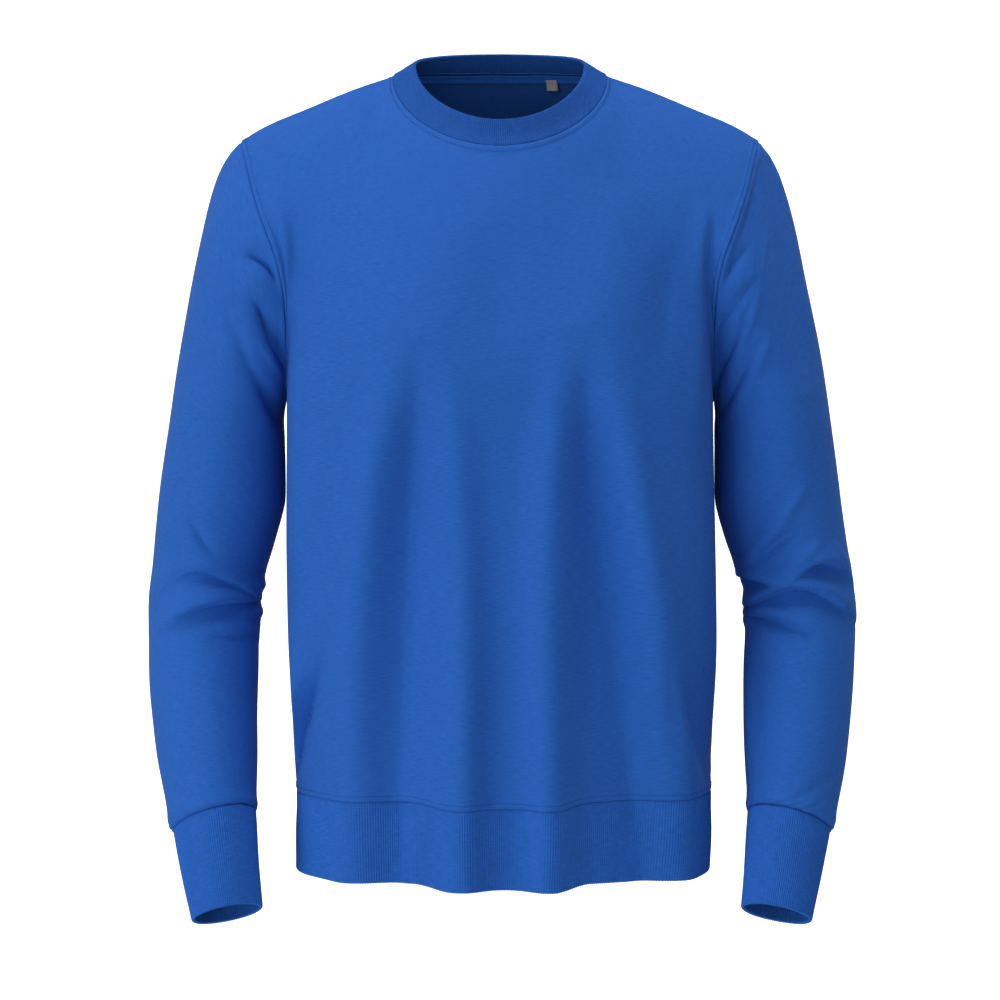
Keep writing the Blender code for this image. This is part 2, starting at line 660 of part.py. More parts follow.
def build_tape(pieces, inner_back, material):
    """The tape inside the back neck, laid on the inner points of the back panel; returns its face."""
    span = slice(NECK[0] + 2, NECK[1] - 1)
    top, low = inner_back[-1, span], inner_back[-2, span]
    down = unit(low - top)
    rows = np.array([top + down * width for width in (TAPE_WIDTH, TAPE_WIDTH / 2, TAPE_INSET)])
    normals = unit(pieces["back_panel"]["normals"][-2:, span].mean(axis=0))
    near = rows - normals * LYING_GAP
    far = near - normals * TAPE
    add_wall("neck_tape", near, far, False, -1, material)
    return far, normals


def along_line(line, places, values):
    """Values given at the points of a line, read at distances along it."""
    along = np.concatenate([[0], np.cumsum(np.linalg.norm(np.diff(line, axis=0), axis=1))])
    return np.stack([np.interp(places, along, values[:, axis]) for axis in range(3)], axis=1)


def build_tab(face, normals, material):
    """The size tab, made from the tape's points: it lies on the tape's lower half and hangs below it."""
    lower, upper = face[0], face[-1]
    along = np.concatenate([[0], np.cumsum(np.linalg.norm(np.diff(lower, axis=0), axis=1))])
    places = np.interp(TAB_X, lower[:, 0], along) + np.linspace(-0.5, 0.5, 5) * TAB_WIDTH
    low, high, outward = (along_line(lower, places, values) for values in (lower, upper, normals))
    down = unit(low - high)
    rows = np.array([low + down * TAB_DROP, low, low - down * (TAB_HEIGHT - TAB_DROP)])
    near = rows - outward * LYING_GAP
    far = near - outward * TAB_THICKNESS
    add_wall("size_tab", near, far, False, -1, material)


def main():
    for old in list(bpy.data.objects):
        bpy.data.objects.remove(old)
    fleece = cloth_material("fleece", BLUE, 0.9)
    rib = cloth_material("rib knit", RIB_BLUE, 0.9)
    pieces = garment_pieces()
    inner_back = build_walls(pieces, {"fleece": fleece, "rib": rib})
    face, normals = build_tape(pieces, inner_back, rib)
    build_tab(face, normals, cloth_material("grey tab", TAB_GREY, 0.8))


PARTS = bpy.data.collections.new("crewneck_sweatshirt")
bpy.context.scene.collection.children.link(PARTS)
main()
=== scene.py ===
"""Crewneck sweatshirt: its cloth, ribs, seams and folds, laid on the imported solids.

Metres, in the solids' frame: +Z up, the front towards -Y, the wearer's right arm at -X.
"""
import math
from collections import namedtuple

import bpy
import numpy as np
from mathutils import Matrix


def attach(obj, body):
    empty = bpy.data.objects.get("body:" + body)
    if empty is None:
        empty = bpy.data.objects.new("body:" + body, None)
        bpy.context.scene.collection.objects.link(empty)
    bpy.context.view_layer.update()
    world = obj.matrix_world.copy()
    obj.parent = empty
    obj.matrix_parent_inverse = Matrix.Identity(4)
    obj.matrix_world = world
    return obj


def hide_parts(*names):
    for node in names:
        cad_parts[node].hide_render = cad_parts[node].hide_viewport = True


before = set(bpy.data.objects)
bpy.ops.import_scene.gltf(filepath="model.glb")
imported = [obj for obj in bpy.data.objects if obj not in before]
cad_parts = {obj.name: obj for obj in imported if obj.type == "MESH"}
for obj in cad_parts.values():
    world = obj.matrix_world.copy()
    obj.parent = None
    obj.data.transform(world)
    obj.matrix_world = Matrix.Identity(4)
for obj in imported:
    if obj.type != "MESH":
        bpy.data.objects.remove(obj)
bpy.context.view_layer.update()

# ---- sizes shared with the solids
CLOTH = 0.0020  # thickness of the fleece
RIB = 0.0026  # thickness of the doubled rib
TAPE = 0.0009
HEM_SEAM_Z = -0.612
HEM_EDGE_Z = -0.678
UNDERARM_ROW_Z = -0.306  # the row from which the sides turn out to the underarm
SIDE_Y = 0.004  # depth of the side seams and the neck points
NECK_POINT = (0.0925, SIDE_Y, 0)
NECK_RISE = 32.0  # slope of the cloth across the shoulder seam at the neck point, degrees
SHOULDER_RISE = 12.0  # the same at the shoulder point
NECK_BULGE = 0.0022  # how far the neck rib rises between its seam and its fold
CAP_SHARE = 0.34  # share of a sleeve over which its rings leave the armhole's shape
SIGN = {"left": -1, "right": 1}  # of X on each side

# grid counts
NECK_COLUMNS = 7  # from the middle of the neckline to the neck point
SHOULDER_COLUMNS = 9  # from the neck point to the shoulder point
SIDE_ROWS = 8  # from the hem seam to the underarm
ARMHOLE_ROWS = 12  # from the underarm to the shoulder point
CUFF_ROWS = 3
NECK_RIB_ROWS = 3
FINE = np.linspace(0, 1, 400)  # places along a line that is then divided evenly

# ---- tables
# Level sections of the body below the underarm, in millimetres: height, middle, half the width, depths in
# front and behind, how far the arm presses the side in, and how square the section is (2 is round).
Level = namedtuple("Level", "z mid_x half_width front back pinch square")
BODY = [
    Level(-678, 2.5, 176.5, 122, 112, 0, 2.7),
    Level(-645, 3, 176.8, 126, 115, 0, 2.7),
    Level(-612, 3, 176.5, 129, 118, 0, 2.7),
    Level(-560, 3, 179.5, 133, 121, 0, 2.75),
    Level(-480, 2, 183.2, 134, 122, 0.8, 2.85),
    Level(-400, 0.8, 183.8, 133, 121, 2.5, 2.95),
    Level(-330, 0, 183.4, 131, 119, 3.8, 3),
    Level(-288, 0, 183, 130, 118, 3.8, 3),
]
PINCH_WIDTH = 0.045  # half the depth over which the arm presses the side in

# Millimetres: the armhole at +X, from the shoulder point down the front, under the arm and up the back.
Point = namedtuple("Point", "x y z")
ARMHOLE = [
    Point(223.5, 6, -56),
    Point(216, -24, -80),
    Point(208, -46, -107),
    Point(198.5, -62, -134),
    Point(189.5, -71, -156),
    Point(182.5, -70, -182),
    Point(180, -56, -216),
    Point(181.5, -35, -246),
    Point(184.2, -14, -269),
    Point(184.4, 6, -275),
    Point(184.6, 30, -265),
    Point(183.6, 52, -238),
    Point(185, 68, -200),
    Point(191.5, 72, -160),
    Point(203.5, 60, -116),
    Point(214.5, 36, -81),
]

# Millimetres: the shoulder seam at +X, between the neck point and the shoulder point.
SHOULDER = [
    Point(126, 5, -11.2),
    Point(165, 6, -27),
    Point(202, 6, -42.5),
]

# Loops round the neck: half the width, and the depth and height in front, behind and at the side.
Loop = namedtuple("Loop", "radius_x front_y back_y side_z front_z back_z")
NECK_SEAM = Loop(NECK_POINT[0], -0.086, 0.074, NECK_POINT[2], -0.0725, 0.0148)
NECK_EDGE = Loop(0.0740, -0.0805, 0.064, 0.0100, -0.0505, 0.0300)

# Sections across the sleeve at +X, in millimetres: where its outer and inner ends lie seen from the front,
# the place of its middle in depth and half its depth; and how far it pitches forward, in degrees.
Section = namedtuple("Section", "outer_x outer_z inner_x inner_z mid_y half_depth pitch")
SLEEVE = [
    Section(223.5, -56, 184.4, -275, 4, 74, 0),
    Section(237.5, -73, 186, -279, 6, 78, 0),
    Section(248, -99, 186.6, -283, 7, 80, 0),
    Section(256.5, -131, 187, -289, 9, 80, 0),
    Section(265, -174, 187.4, -297, 11, 79, 0),
    Section(275, -230, 187.7, -311, 13, 77, 0),
    Section(284, -286, 187.8, -331, 14, 75, 1),
    Section(292, -345, 188, -364, 15, 72, 3),
    Section(297.5, -392, 196, -397, 16, 69, 6),
    Section(300.5, -425, 204, -424, 16, 66, 10),
    Section(303.5, -455, 208.5, -450, 13, 63, 14),
    Section(302.5, -490, 210, -481, 5, 60, 18),
    Section(298.5, -535, 209, -522, -10, 56, 20),
    Section(290.5, -585, 208, -569, -28, 50, 21),
    Section(281, -625, 206.5, -606, -43, 44, 22),
    Section(278.5, -637, 206, -618, -48, 42, 22),
    Section(273.5, -644, 207.5, -625, -51, 38, 22),
]
CUFF = [
    SLEEVE[-1],
    Section(269.5, -660, 205.5, -642, -57, 36, 22),
    Section(262, -688, 202.5, -674, -68, 31, 22),
    Section(255, -714, 199, -702, -78, 27, 22),
]
SPLAY = {"left": 0.0, "right": 0.0028}  # how much further out the forearm is held
SPLAY_FROM_Z = -0.36
SPLAY_FULL_Z = -0.46

# Soft folds down the body, in millimetres: three places on the way down, half the width towards -X and +X,
# the height above the cloth in the middle and at the low end, and the height at which the fold starts.
Fold = namedtuple("Fold", "x1 z1 x2 z2 x3 z3 near far middle low start_z")
FRONT_FOLDS = [
    Fold(-80, -240, -104, -364, -120, -560, 22, 20, 16, 14, -212),
    Fold(-45, -240, -34, -364, -30, -560, 19, 17.5, 11.5, 17.5, -225),
    Fold(53, -240, 42, -364, 39, -560, 18, 22.5, 15, 21, -205),
    Fold(86, -240, 111, -364, 150, -560, 19, 21, 14.5, 16.5, -220),
    Fold(-68, -140, -73, -200, -84, -330, 42, 42, 6, 0, -110),
    Fold(94, -140, 86, -200, 78, -330, 40, 40, 7, 0, -110),
]
BACK_FOLDS = [
    Fold(-92, -250, -106, -364, -124, -560, 23, 21, 14, 13, -220),
    Fold(-30, -240, -37, -364, -46, -560, 21.5, 23, 12, 15, -235),
    Fold(40, -250, 38, -364, 39, -560, 20, 22, 14, 15, -225),
    Fold(92, -240, 106, -364, 122, -560, 22.5, 21, 12, 12.5, -240),
]
FOLD_GROWTH = 0.13  # length over which a fold rises from nothing to its height

# Creases across the back of a sleeve: the height and angle of the middle (0 degrees is the inner side, 90 the
# back), the rise over a quarter turn, half the width, half the length in degrees, and the depth.
Crease = namedtuple("Crease", "z angle rise width reach depth")
CREASES = [
    Crease(-0.432, 60, 0.016, 0.012, 50, 0.0040),
    Crease(-0.462, 90, -0.012, 0.012, 45, 0.0030),
]


# ---- curves
def through(rows, places):
    """Catmull-Rom curve through the rows, read at places from 0 to 1."""
    rows = np.array(rows, dtype=float)
    ends = [2 * rows[0] - rows[1]], [2 * rows[-1] - rows[-2]]
    rows = np.concatenate([ends[0], rows, ends[1]])
    spans = len(rows) - 3
    at = np.clip(np.asarray(places, dtype=float), 0, 1) * spans
    first = np.minimum(at.astype(int), spans - 1)
    t = (at - first)[:, None]
    a, b, c, d = (rows[first + step] for step in range(4))
    return 0.5 * (2 * b + (c - a) * t + (2 * a - 5 * b + 4 * c - d) * t**2 + (3 * b - a - 3 * c + d) * t**3)


def distances(line):
    """Distance of each point of a line from its first one."""
    return np.concatenate([[0], np.cumsum(np.linalg.norm(np.diff(line, axis=0), axis=1))])


def read_at(wanted, along, points):
    """A line read at the wanted distances; its points lie at the distances along."""
    return np.stack([np.interp(wanted, along, points[:, axis]) for axis in range(3)], axis=-1)


def even(points, count):
    """The same line with count equal steps along it."""
    along = distances(points)
    return read_at(np.linspace(0, along[-1], count + 1), along, points)


def ease(value):
    """Smooth step from 0 to 1."""
    value = np.clip(value, 0, 1)
    return value * value * (3 - 2 * value)


def bell(value):
    """A smooth hump: 1 at 0 and nearly nothing beyond 2."""
    return np.exp(-(value**2))


def unit(vectors):
    return vectors / np.maximum(np.linalg.norm(vectors, axis=-1, keepdims=True), 1e-12)


def bow(row, heights):
    """X at heights on the curve through a row's three places, all in metres."""
    return np.polyval(np.polyfit((row.z1, row.z2, row.z3), (row.x1, row.x2, row.x3), 2), heights)


def armhole(sign):
    """Front and back halves of the armhole, each from the underarm up to the shoulder point."""
    loop = np.array(ARMHOLE + ARMHOLE[:1]) / 1000
    doubled = np.concatenate([loop[-4:-1], loop, loop[1:4]])
    line = through(doubled, (FINE * (len(loop) - 1) + 3) / (len(doubled) - 1))
    lowest = int(np.argmin(line[:, 2]))
    front = even(line[:lowest + 1], ARMHOLE_ROWS)[::-1]
    back = even(line[lowest:], ARMHOLE_ROWS)
    return front * (sign, 1, 1), back * (sign, 1, 1)


def neck_loop(loop, angle):
    """A loop round the neck: angle 0 is the middle of the back, 90 degrees the neck point at +X."""
    forward = np.cos(angle) < 0
    lean = np.abs(np.cos(angle))
    y = SIDE_Y + lean * (np.where(forward, loop.front_y, loop.back_y) - SIDE_Y)
    front, back = (loop.front_z - loop.side_z) * lean**1.10, (loop.back_z - loop.side_z) * lean**0.85
    z = loop.side_z + np.where(forward, front, back)
    return np.stack([loop.radius_x * np.sin(angle), y, z], axis=1)


def shoulder(sign):
    """Shoulder seam, from the neck point to the shoulder point."""
    line = through([NECK_POINT, *np.array(SHOULDER + ARMHOLE[:1]) / 1000], FINE)
    return even(line, SHOULDER_COLUMNS) * (sign, 1, 1)


def neck_angles(front):
    """Angles of the neckline columns of one panel, from the neck point at -X to the one at +X."""
    turn = np.linspace(-math.pi / 2, math.pi / 2, 2 * NECK_COLUMNS + 1)
    return math.pi - turn if front else turn


def top_edge(front):
    """Shoulder seams and neckline of one panel, from -X to +X."""
    neck = neck_loop(NECK_SEAM, neck_angles(front))
    return np.concatenate([shoulder(-1)[:0:-1], neck, shoulder(1)[1:]])


# ---- panels of the body
COLUMNS = 2 * (NECK_COLUMNS + SHOULDER_COLUMNS)
ACROSS = np.linspace(-1, 1, COLUMNS + 1)
NECK = [SHOULDER_COLUMNS, SHOULDER_COLUMNS + 2 * NECK_COLUMNS]  # columns of the two neck points
NECK_SPAN = slice(NECK[0], NECK[1] + 1)


def level_line(place, front):
    """Half of a level section of the body, from the side seam at -X to the one at +X."""
    *sizes, square = through(BODY, [place])[0]
    z, mid_x, half_width, depth_front, depth_back, pinch = np.array(sizes) / 1000
    depth = -depth_front if front else depth_back
    turn = np.linspace(-math.pi / 2, math.pi / 2, 400)
    x = mid_x + half_width * np.sign(np.sin(turn)) * np.abs(np.sin(turn)) ** (2 / square)
    y = SIDE_Y + (depth - SIDE_Y) * np.abs(np.cos(turn)) ** (2 / square)
    x -= pinch * np.sin(turn) * bell((y - SIDE_Y) / PINCH_WIDTH)
    return even(np.stack([x, y, np.full_like(x, z)], axis=1), COLUMNS)


def body_levels(heights, front):
    """Halves of the body's level sections at heights below the underarm."""
    fine = np.linspace(0, 1, 200)
    places = np.interp(heights, through(BODY, fine)[:, 0] / 1000, fine)
    return np.array([level_line(place, front) for place in places])


def folds(points, rows):
    """How far each point is pushed out by the folds."""
    push = np.zeros(points.shape[:-1])
    height = points[..., 2]
    for row in rows:
        fold = Fold(*np.array(row) / 1000)
        aside = points[..., 0] - bow(fold, np.clip(height, fold.z3, 0))
        grown = ease((fold.start_z - height) / FOLD_GROWTH)
        lowered = ease((fold.z2 - height) / (fold.z2 - fold.z3))
        size = grown * (fold.middle + (fold.low - fold.middle) * lowered)
        width = np.where(aside < 0, fold.near, fold.far)
        push += size * (bell(aside / width) - 0.35 * bell(aside / (2.6 * width)))
    return push


def arrivals(front):
    """Directions in the cloth out of the panel, square to the shoulder seams and the neckline."""
    columns = abs(ACROSS) * COLUMNS / 2
    from_neck = np.clip((columns - NECK_COLUMNS) / SHOULDER_COLUMNS, 0, 1)
    rise = np.radians(NECK_RISE + (SHOULDER_RISE - NECK_RISE) * from_neck)
    backward = 1 if front else -1
    leading = np.stack([0 * rise, backward * np.cos(rise), backward * np.sin(rise)], axis=1)
    angle = neck_angles(front)
    level_middle, level_side = (0.42, 0.90) if front else (0.50, 0.90)
    level = level_middle + (level_side - level_middle) * np.sin(angle) ** 2
    inward = np.stack([-level * np.sin(angle), -level * np.cos(angle), np.sqrt(1 - level**2)], axis=1)
    inward[[0, -1]] = 0.5 * (inward[[0, -1]] + leading[NECK])
    leading[NECK_SPAN] = inward
    return leading


def fair(grid, free):
    """The grid with its free points moved so that its second differences are least."""
    rows, columns = grid.shape[:2]
    number = np.arange(rows * columns).reshape(rows, columns)
    plain, cross = np.array([1.0, -2.0, 1.0]), np.array([1.0, -1.0, -1.0, 1.0]) * math.sqrt(2)
    stencils = [
        (plain, [number[:-2], number[1:-1], number[2:]]),
        (plain, [number[:, :-2], number[:, 1:-1], number[:, 2:]]),
        (cross, [number[:-1, :-1], number[:-1, 1:], number[1:, :-1], number[1:, 1:]]),
    ]
    blocks = []
    for weights, corners in stencils:
        block = np.zeros((corners[0].size, rows * columns))
        for weight, corner in zip(weights, corners):
            block[np.arange(corner.size), corner.ravel()] += weight
        blocks.append(block)
    matrix = np.concatenate(blocks)
    flat, loose = grid.reshape(-1, 3).copy(), free.ravel()
    known = matrix[:, ~loose] @ flat[~loose]
    flat[loose] = np.linalg.lstsq(matrix[:, loose], -known, rcond=None)[0]
    return flat.reshape(grid.shape)


def upper_lines(front):
    """Upper part of a panel, its sides given, with a row beyond its lower and upper one for the slope."""
    edges = [armhole(side)[0 if front else 1] for side in (-1, 1)]
    base, top = level_line(1.0, front), top_edge(front)
    lift = (edges[0][0][2] - base[0][2]) * abs(ACROSS) ** 4
    base[:, 2] += lift
    base[0], base[-1] = edges[0][0], edges[1][0]
    step = np.linalg.norm(top - base, axis=1)[:, None] / ARMHOLE_ROWS
    grid = np.zeros((ARMHOLE_ROWS + 3, COLUMNS + 1, 3))
    grid[0] = base - step * (0, 0, 1)
    grid[1] = base
    grid[-2] = top
    grid[-1] = top + step * arrivals(front)
    grid[1:-1, 0], grid[1:-1, -1] = edges
    free = np.zeros(grid.shape[:2], dtype=bool)
    free[2:-2, 1:-1] = True
    return fair(grid, free)[1:-1]


# ---- sleeves and ribs
def rings(table, places, side):
    """Rings round the sections of a table, each up the back from the inner end and down the front."""
    angle = np.linspace(0, 2 * math.pi, 2 * ARMHOLE_ROWS + 1)[:-1, None]
    rows = []
    for *sizes, pitch in through(table, places):
        outer_x, outer_z, inner_x, inner_z, mid_y, half_depth = np.array(sizes) / 1000
        middle = np.array([(outer_x + inner_x) / 2, mid_y, (outer_z + inner_z) / 2])
        across = np.array([(outer_x - inner_x) / 2, 0, (outer_z - inner_z) / 2])
        lean = math.radians(pitch)
        depth = half_depth * np.array([0, math.cos(lean), -math.sin(lean)])
        rows.append((middle - np.cos(angle) * across + np.sin(angle) * depth) * (SIGN[side], 1, 1))
    return np.array(rows)


def sleeve(side):
    """Middle surface of a sleeve: rows from the armhole down to the cuff, columns round the arm."""
    rows = rings(SLEEVE, sleeve_places(), side)
    front, back = armhole(SIGN[side])
    seam = np.concatenate([back[:-1], front[:0:-1]])
    fade = (1 - ease(np.linspace(0, 1, len(rows)) / CAP_SHARE)) ** 1.5
    rows += (seam - rows[0])[None] * fade[:, None, None]
    return splay(rows, side)


def sleeve_places():
    """Where the rows of a sleeve lie in its table: close together at the elbow."""
    last = len(SLEEVE) - 1
    elbow_top, elbow_low = 7, 11
    cap = np.linspace(0, elbow_top, 11)
    elbow = np.linspace(elbow_top, elbow_low, 11)[1:]
    forearm = np.linspace(elbow_low, last, 6)[1:]
    return np.concatenate([cap, elbow, forearm]) / last


def splay(points, side):
    """Moves the forearm of one side a little outward."""
    share = ease((SPLAY_FROM_Z - points[..., 2]) / (SPLAY_FROM_Z - SPLAY_FULL_Z))
    points[..., 0] += SIGN[side] * SPLAY[side] * share
    return points


def cuff(side):
    """Middle surface of a cuff: rows from its seam to its edge."""
    return splay(rings(CUFF, np.linspace(0, 1, CUFF_ROWS + 1), side), side)


def neck_band():
    """Middle surface of the neck rib: rows from the neckline up to its folded edge."""
    angles = np.concatenate([neck_angles(True)[:-1], neck_angles(False)[:0:-1]])
    edge, seam = neck_loop(NECK_EDGE, angles), neck_loop(NECK_SEAM, angles)
    share = np.linspace(0, 1, NECK_RIB_ROWS + 1)[::-1, None]
    rows = edge + (seam - edge) * share[..., None]
    rows[..., 2] += NECK_BULGE * np.sin(math.pi * share)
    return rows


def hem_band():
    """Middle surface of the hem rib: rows from its seam down to its edge."""
    heights = np.linspace(HEM_SEAM_Z, HEM_EDGE_Z, HEM_ROWS + 1)
    front, back = (body_levels(heights, ahead) for ahead in (True, False))
    return np.concatenate([front[:, :-1], back[:, :0:-1]], axis=1)


def grid_normals(grid, closed):
    """Unit normals at the points of a grid, from the faces round each."""
    following = np.roll(grid, -1, axis=1)
    faces = np.cross(following[1:] - grid[:-1], grid[1:] - following[:-1])
    if not closed:
        faces[:, -1] = 0
    faces = faces + np.roll(faces, 1, axis=1)
    total = np.zeros_like(grid)
    total[:-1] += faces
    total[1:] += faces
    return unit(total)


# ---- looks: driving values
STEP = 0.0036  # spacing of the cloth's points
SLEEVE_STEP = 0.0019  # the same down a sleeve, for its sharp ledges
BAND_STEP = 0.0080  # the same down a rib band
SEAM_STEP = 0.0010  # the same next to a seam
SEAM_ZONE = 0.0085  # width of that finer stretch
ALLOWANCE = 0.0008  # height of the turned seam allowance
ALLOWANCE_WIDTH = 0.0054
STITCH_AT = 0.0046  # distance of the topstitch from its seam
NECK_STITCH_MORE = 0.0009  # how much further off the neck's topstitch lies
STITCH_PITCH = 0.0026
STITCH_LENGTH = 0.0019
WALE_PITCH = 0.0019  # width of one rib and its groove
WALE_DEPTH = 0.00040
WALE_POINTS = 4
TAPE_INSET = 0.0007  # from the neckline seam to the tape's upper edge
TAPE_WIDTH = 0.0080  # from the seam to its lower edge
TAPE_ENDS = (0.14, 0.86)  # on the back neckline, as shares of it
TAPE_LIFT = 0.0004  # space between the tape and the cloth
TAB_WIDTH = 0.0105
TAB_HEIGHT = 0.0098
TAB_DROP = 0.0062  # how far the tab hangs below the tape
TAB_THICKNESS = 0.0006
TAB_EDGE = 0.0001  # height of its outermost threads
TAB_BORDER = 0.00028  # height of its raised border
TAB_LIFT = 0.0004  # space between the tab and the tape
TAB_LEAN = 0.0009  # how much further off its low end hangs
TAB_X = 0.0465  # where the tab hangs, right of the middle
TAB_POINTS = 15
INSIDE_STITCH_AT = 0.0022  # distance of the stitches inside the neck from the seam
INSIDE_PAINTED_SHADE = 0.75  # painted shade on the inner side of the cloth: its colour is multiplied by this
NECK_BACK_Y = 0.030  # behind it the inside of the neck seam shows
NECK_FLAT = 0.0022  # how much flatter the neck rib lies in its middle
GROOVE_PAINTED_SHADE = 0.6  # share of the inner side's painted shade that the grooves between ribs get
ALLOWANCE_STEP = 0.0014  # over which the allowance's edge falls to the cloth
HEM_ROWS = 4
WALE_START = 0.002  # from a band's seam to the full height of its ribs
EDGE_FADE = 0.012  # from a panel's edge to the full height of its creases
SLEEVE_FADE = 0.008  # the same for a sleeve
THREAD_SIZE = (0.00042, 0.00030)  # half its width, and its height
BRIGHT_THREAD_SIZE = (0.0005, 0.0004)
ARMHOLE_FROM_Z = -0.262  # above it a panel's side is sewn to the sleeve
ARMHOLE_GROWTH = 0.030  # over which the seam gets its full height there
SIDE_SHARE = 0.25  # height of the side seam against the armhole's
TRUNK = (0.18, 0.125)  # half its width and depth, for the directions out of it
TRUNK_SIDE_X = 0.181  # where the falling folds have died away
DROP = 0.0045  # how much lower the hem hangs in the middle of the front
DROP_X = 0.001
DROP_HALF_WIDTH = 0.072
DROP_FADE = 0.030  # over which it ends at both sides
DROP_FROM_Z = -0.40
DROP_GROWTH = 0.20  # over which it grows on the way down
UNEVEN = 0.0006  # height of the fleece's slow unevenness; half of that on the ribs
LEDGE_WIDTH = 0.0034  # over which the cloth drops at a ledge
LEDGE_SWELL = 0.010  # how far above a ledge the cloth swells

# Small forms along a seam: their height, their distance from the seam and half their width.
Rise = namedtuple("Rise", "height at width")
GROOVE = Rise(0.00042, STITCH_AT, 0.0008)  # under the topstitch
PUCKERS = Rise(0.00022, 0.004, 0.005)
PANEL_ROLL = Rise(0.0009, 0, 0.0009)  # of an edge down into its seam
SLEEVE_ROLL = Rise(0.0012, 0, 0.0012)
WRIST_ROLL = Rise(0.0010, 0, 0.0012)
PUFF = Rise(0.0012, 0.004, 0.004)  # of a sleeve over its cuff
GATHERS = Rise(0.0004, 0, 0.012)
BAND_ROLL = Rise(0.0008, 0, 0.0011)
CUFF_ROLL = Rise(0.0015, 0, 0.0011)

# Creases drawn on the cloth as seen from the front or the back, in millimetres: three places in X and Z,
# half the width on the upper or +X side and on the other side, the height (less than 0 for a trough), and
# how round the crease is (1 is sharp, 2 is soft).
Line = namedtuple("Line", "x1 z1 x2 z2 x3 z3 near far height round")
# Long soft hollows between the front's folds, down to the hem's edge.
FRONT_FALLS = [
    Line(-68, -230, -79, -470, -88, -740, 15, 26, -14, 1.6),
    Line(65, -220, 97, -480, 128, -740, 17, 38, -19, 1.6),
]
# Where the front hangs over its own side: the line of the overhang and how far the side lies behind it, in
# millimetres, and how much the side comes forward for each millimetre towards the side seam.
Tuck = namedtuple("Tuck", "x1 z1 x2 z2 x3 z3 depth")
FRONT_TUCK = Tuck(-132, -440, -147, -529, -168, -600, 30)
TUCK_RISE = 0.5
BODY_FRONT_LINES = [
    Line(-187, -116, -179, -156, -177, -220, 5, 2.5, 2.6, 1.6),
    Line(-175, -121, -169, -158, -158, -228, 7, 5, -1.8, 2),
    Line(-195, -128, -187, -146, -180, -164, 2.5, 3, -1.2, 2),
    Line(-168, -200, -169, -310, -172, -430, 6, 8, 2.6, 2),
    Line(172, -121, 167, -151, 159, -199, 6, 9, 3.4, 2),
    Line(166, -150, 163, -225, 162, -310, 6, 8, 4.5, 2),
    Line(141, -150, 139, -200, 136, -260, 9, 15, -3.6, 2),
    Line(179, -126, 177, -162, 175, -224, 3, 4, -1.6, 2),
    Line(0, -135, -2, -190, 2, -255, 26, 26, -4, 2),
    Line(98, -95, 96, -165, 90, -245, 24, 36, 3.2, 2),
    Line(154, -506, 161, -554, 172, -600, 18, 3, -6, 1.5),
    Line(138, -470, 142, -530, 150, -590, 16, 9, -4.5, 2),
]
BODY_BACK_LINES = [
    Line(-142, -490, -153, -540, -166, -600, 4, 11, -9, 1.3),
    Line(146, -500, 156, -548, 168, -602, 11, 4, -8, 1.3),
    Line(-60, -110, -20, -125, 30, -118, 9, 9, 1.6, 2),
    Line(-30, -150, 10, -160, 60, -150, 10, 10, -1.4, 2),
    Line(-182, -190, -178, -230, -172, -290, 5, 6, 1.6, 2),
    Line(182, -190, 178, -230, 172, -290, 6, 5, 1.6, 2),
]
LEFT_FRONT_LINES = [
    Line(-281, -436, -272, -428, -260, -426, 4, 3, -4, 1.3),
    Line(-263, -376, -254, -395, -239, -414, 6, 5, -4.6, 1.8),
    Line(-214, -438, -203, -439, -192, -440, 5, 5, 5, 2),
    Line(-214, -461, -203, -462, -192, -462, 5, 5, 9, 2),
    Line(-214, -484, -203, -484, -192, -484, 4, 4, 4, 2),
    Line(-216, -162, -198, -168, -179, -192, 8, 4, -11, 1.4),
    Line(-206, -198, -194, -221, -182, -256, 8, 5, -11, 1.4),
    Line(-202, -262, -193, -285, -183, -312, 6, 6, -6, 2),
    Line(-204, -232, -193, -245, -182, -268, 4, 4, 2.5, 2),
    Line(-234, -196, -219, -230, -191, -296, 6, 7, -3.6, 2),
    Line(-280, -600, -263, -611, -245, -621, 4, 4, -1.3, 2),
]
RIGHT_FRONT_LINES = [
    Line(215, -418, 235, -400, 255, -389, 5, 6, -4.2, 2),
    Line(206, -423, 233, -390, 258, -350, 6, 5, 4.6, 2),
    Line(190, -436, 202, -436, 213, -436, 6, 6, 6, 2),
    Line(194, -469, 206, -469, 217, -469, 6, 6, 10, 2),
    Line(234, -432, 255, -414, 273, -398, 5, 4, 3, 2),
    Line(281, -398, 288, -411, 296, -424, 2, 2, 1.3, 1.8),
    Line(226, -64, 246, -160, 260, -280, 12, 46, -12, 2),
    Line(212, -484, 212, -545, 210, -615, 4, 15, 4.5, 2),
    Line(177, -189, 192, -171, 210, -151, 4, 5, -5, 1.6),
    Line(177, -222, 195, -202, 215, -183, 4, 5, -4.4, 1.6),
    Line(180, -270, 192, -242, 210, -203, 5, 5, -4.8, 1.6),
    Line(232, -134, 228, -154, 223, -179, 2, 2.5, 1.3, 1.6),
    Line(189, -259, 206, -224, 218, -193, 4, 4, 2.6, 2),
    Line(197, -292, 214, -256, 227, -230, 4, 5, 2.6, 2),
    Line(180, -307, 195, -276, 213, -238, 4, 4, -3.4, 1.6),
    Line(234, -620, 260, -605, 284, -590, 4, 4, -1.3, 2),
]
# Both sleeves have the same creases behind; these places are on the one at +X.
ARM_BACK_LINES = [
    Line(206, -424, 246, -414, 292, -430, 6, 2.5, -2.6, 1.5),
    Line(208, -446, 240, -440, 284, -458, 6, 2.5, -3.2, 1.5),
    Line(212, -470, 246, -470, 280, -482, 6, 3, -2.4, 1.6),
    Line(196, -318, 222, -288, 250, -262, 5, 5, -1.8, 2),
    Line(194, -250, 210, -220, 226, -196, 4, 4, -1.8, 2),
    Line(214, -606, 236, -596, 258, -584, 4, 4, -1.3, 2),
]
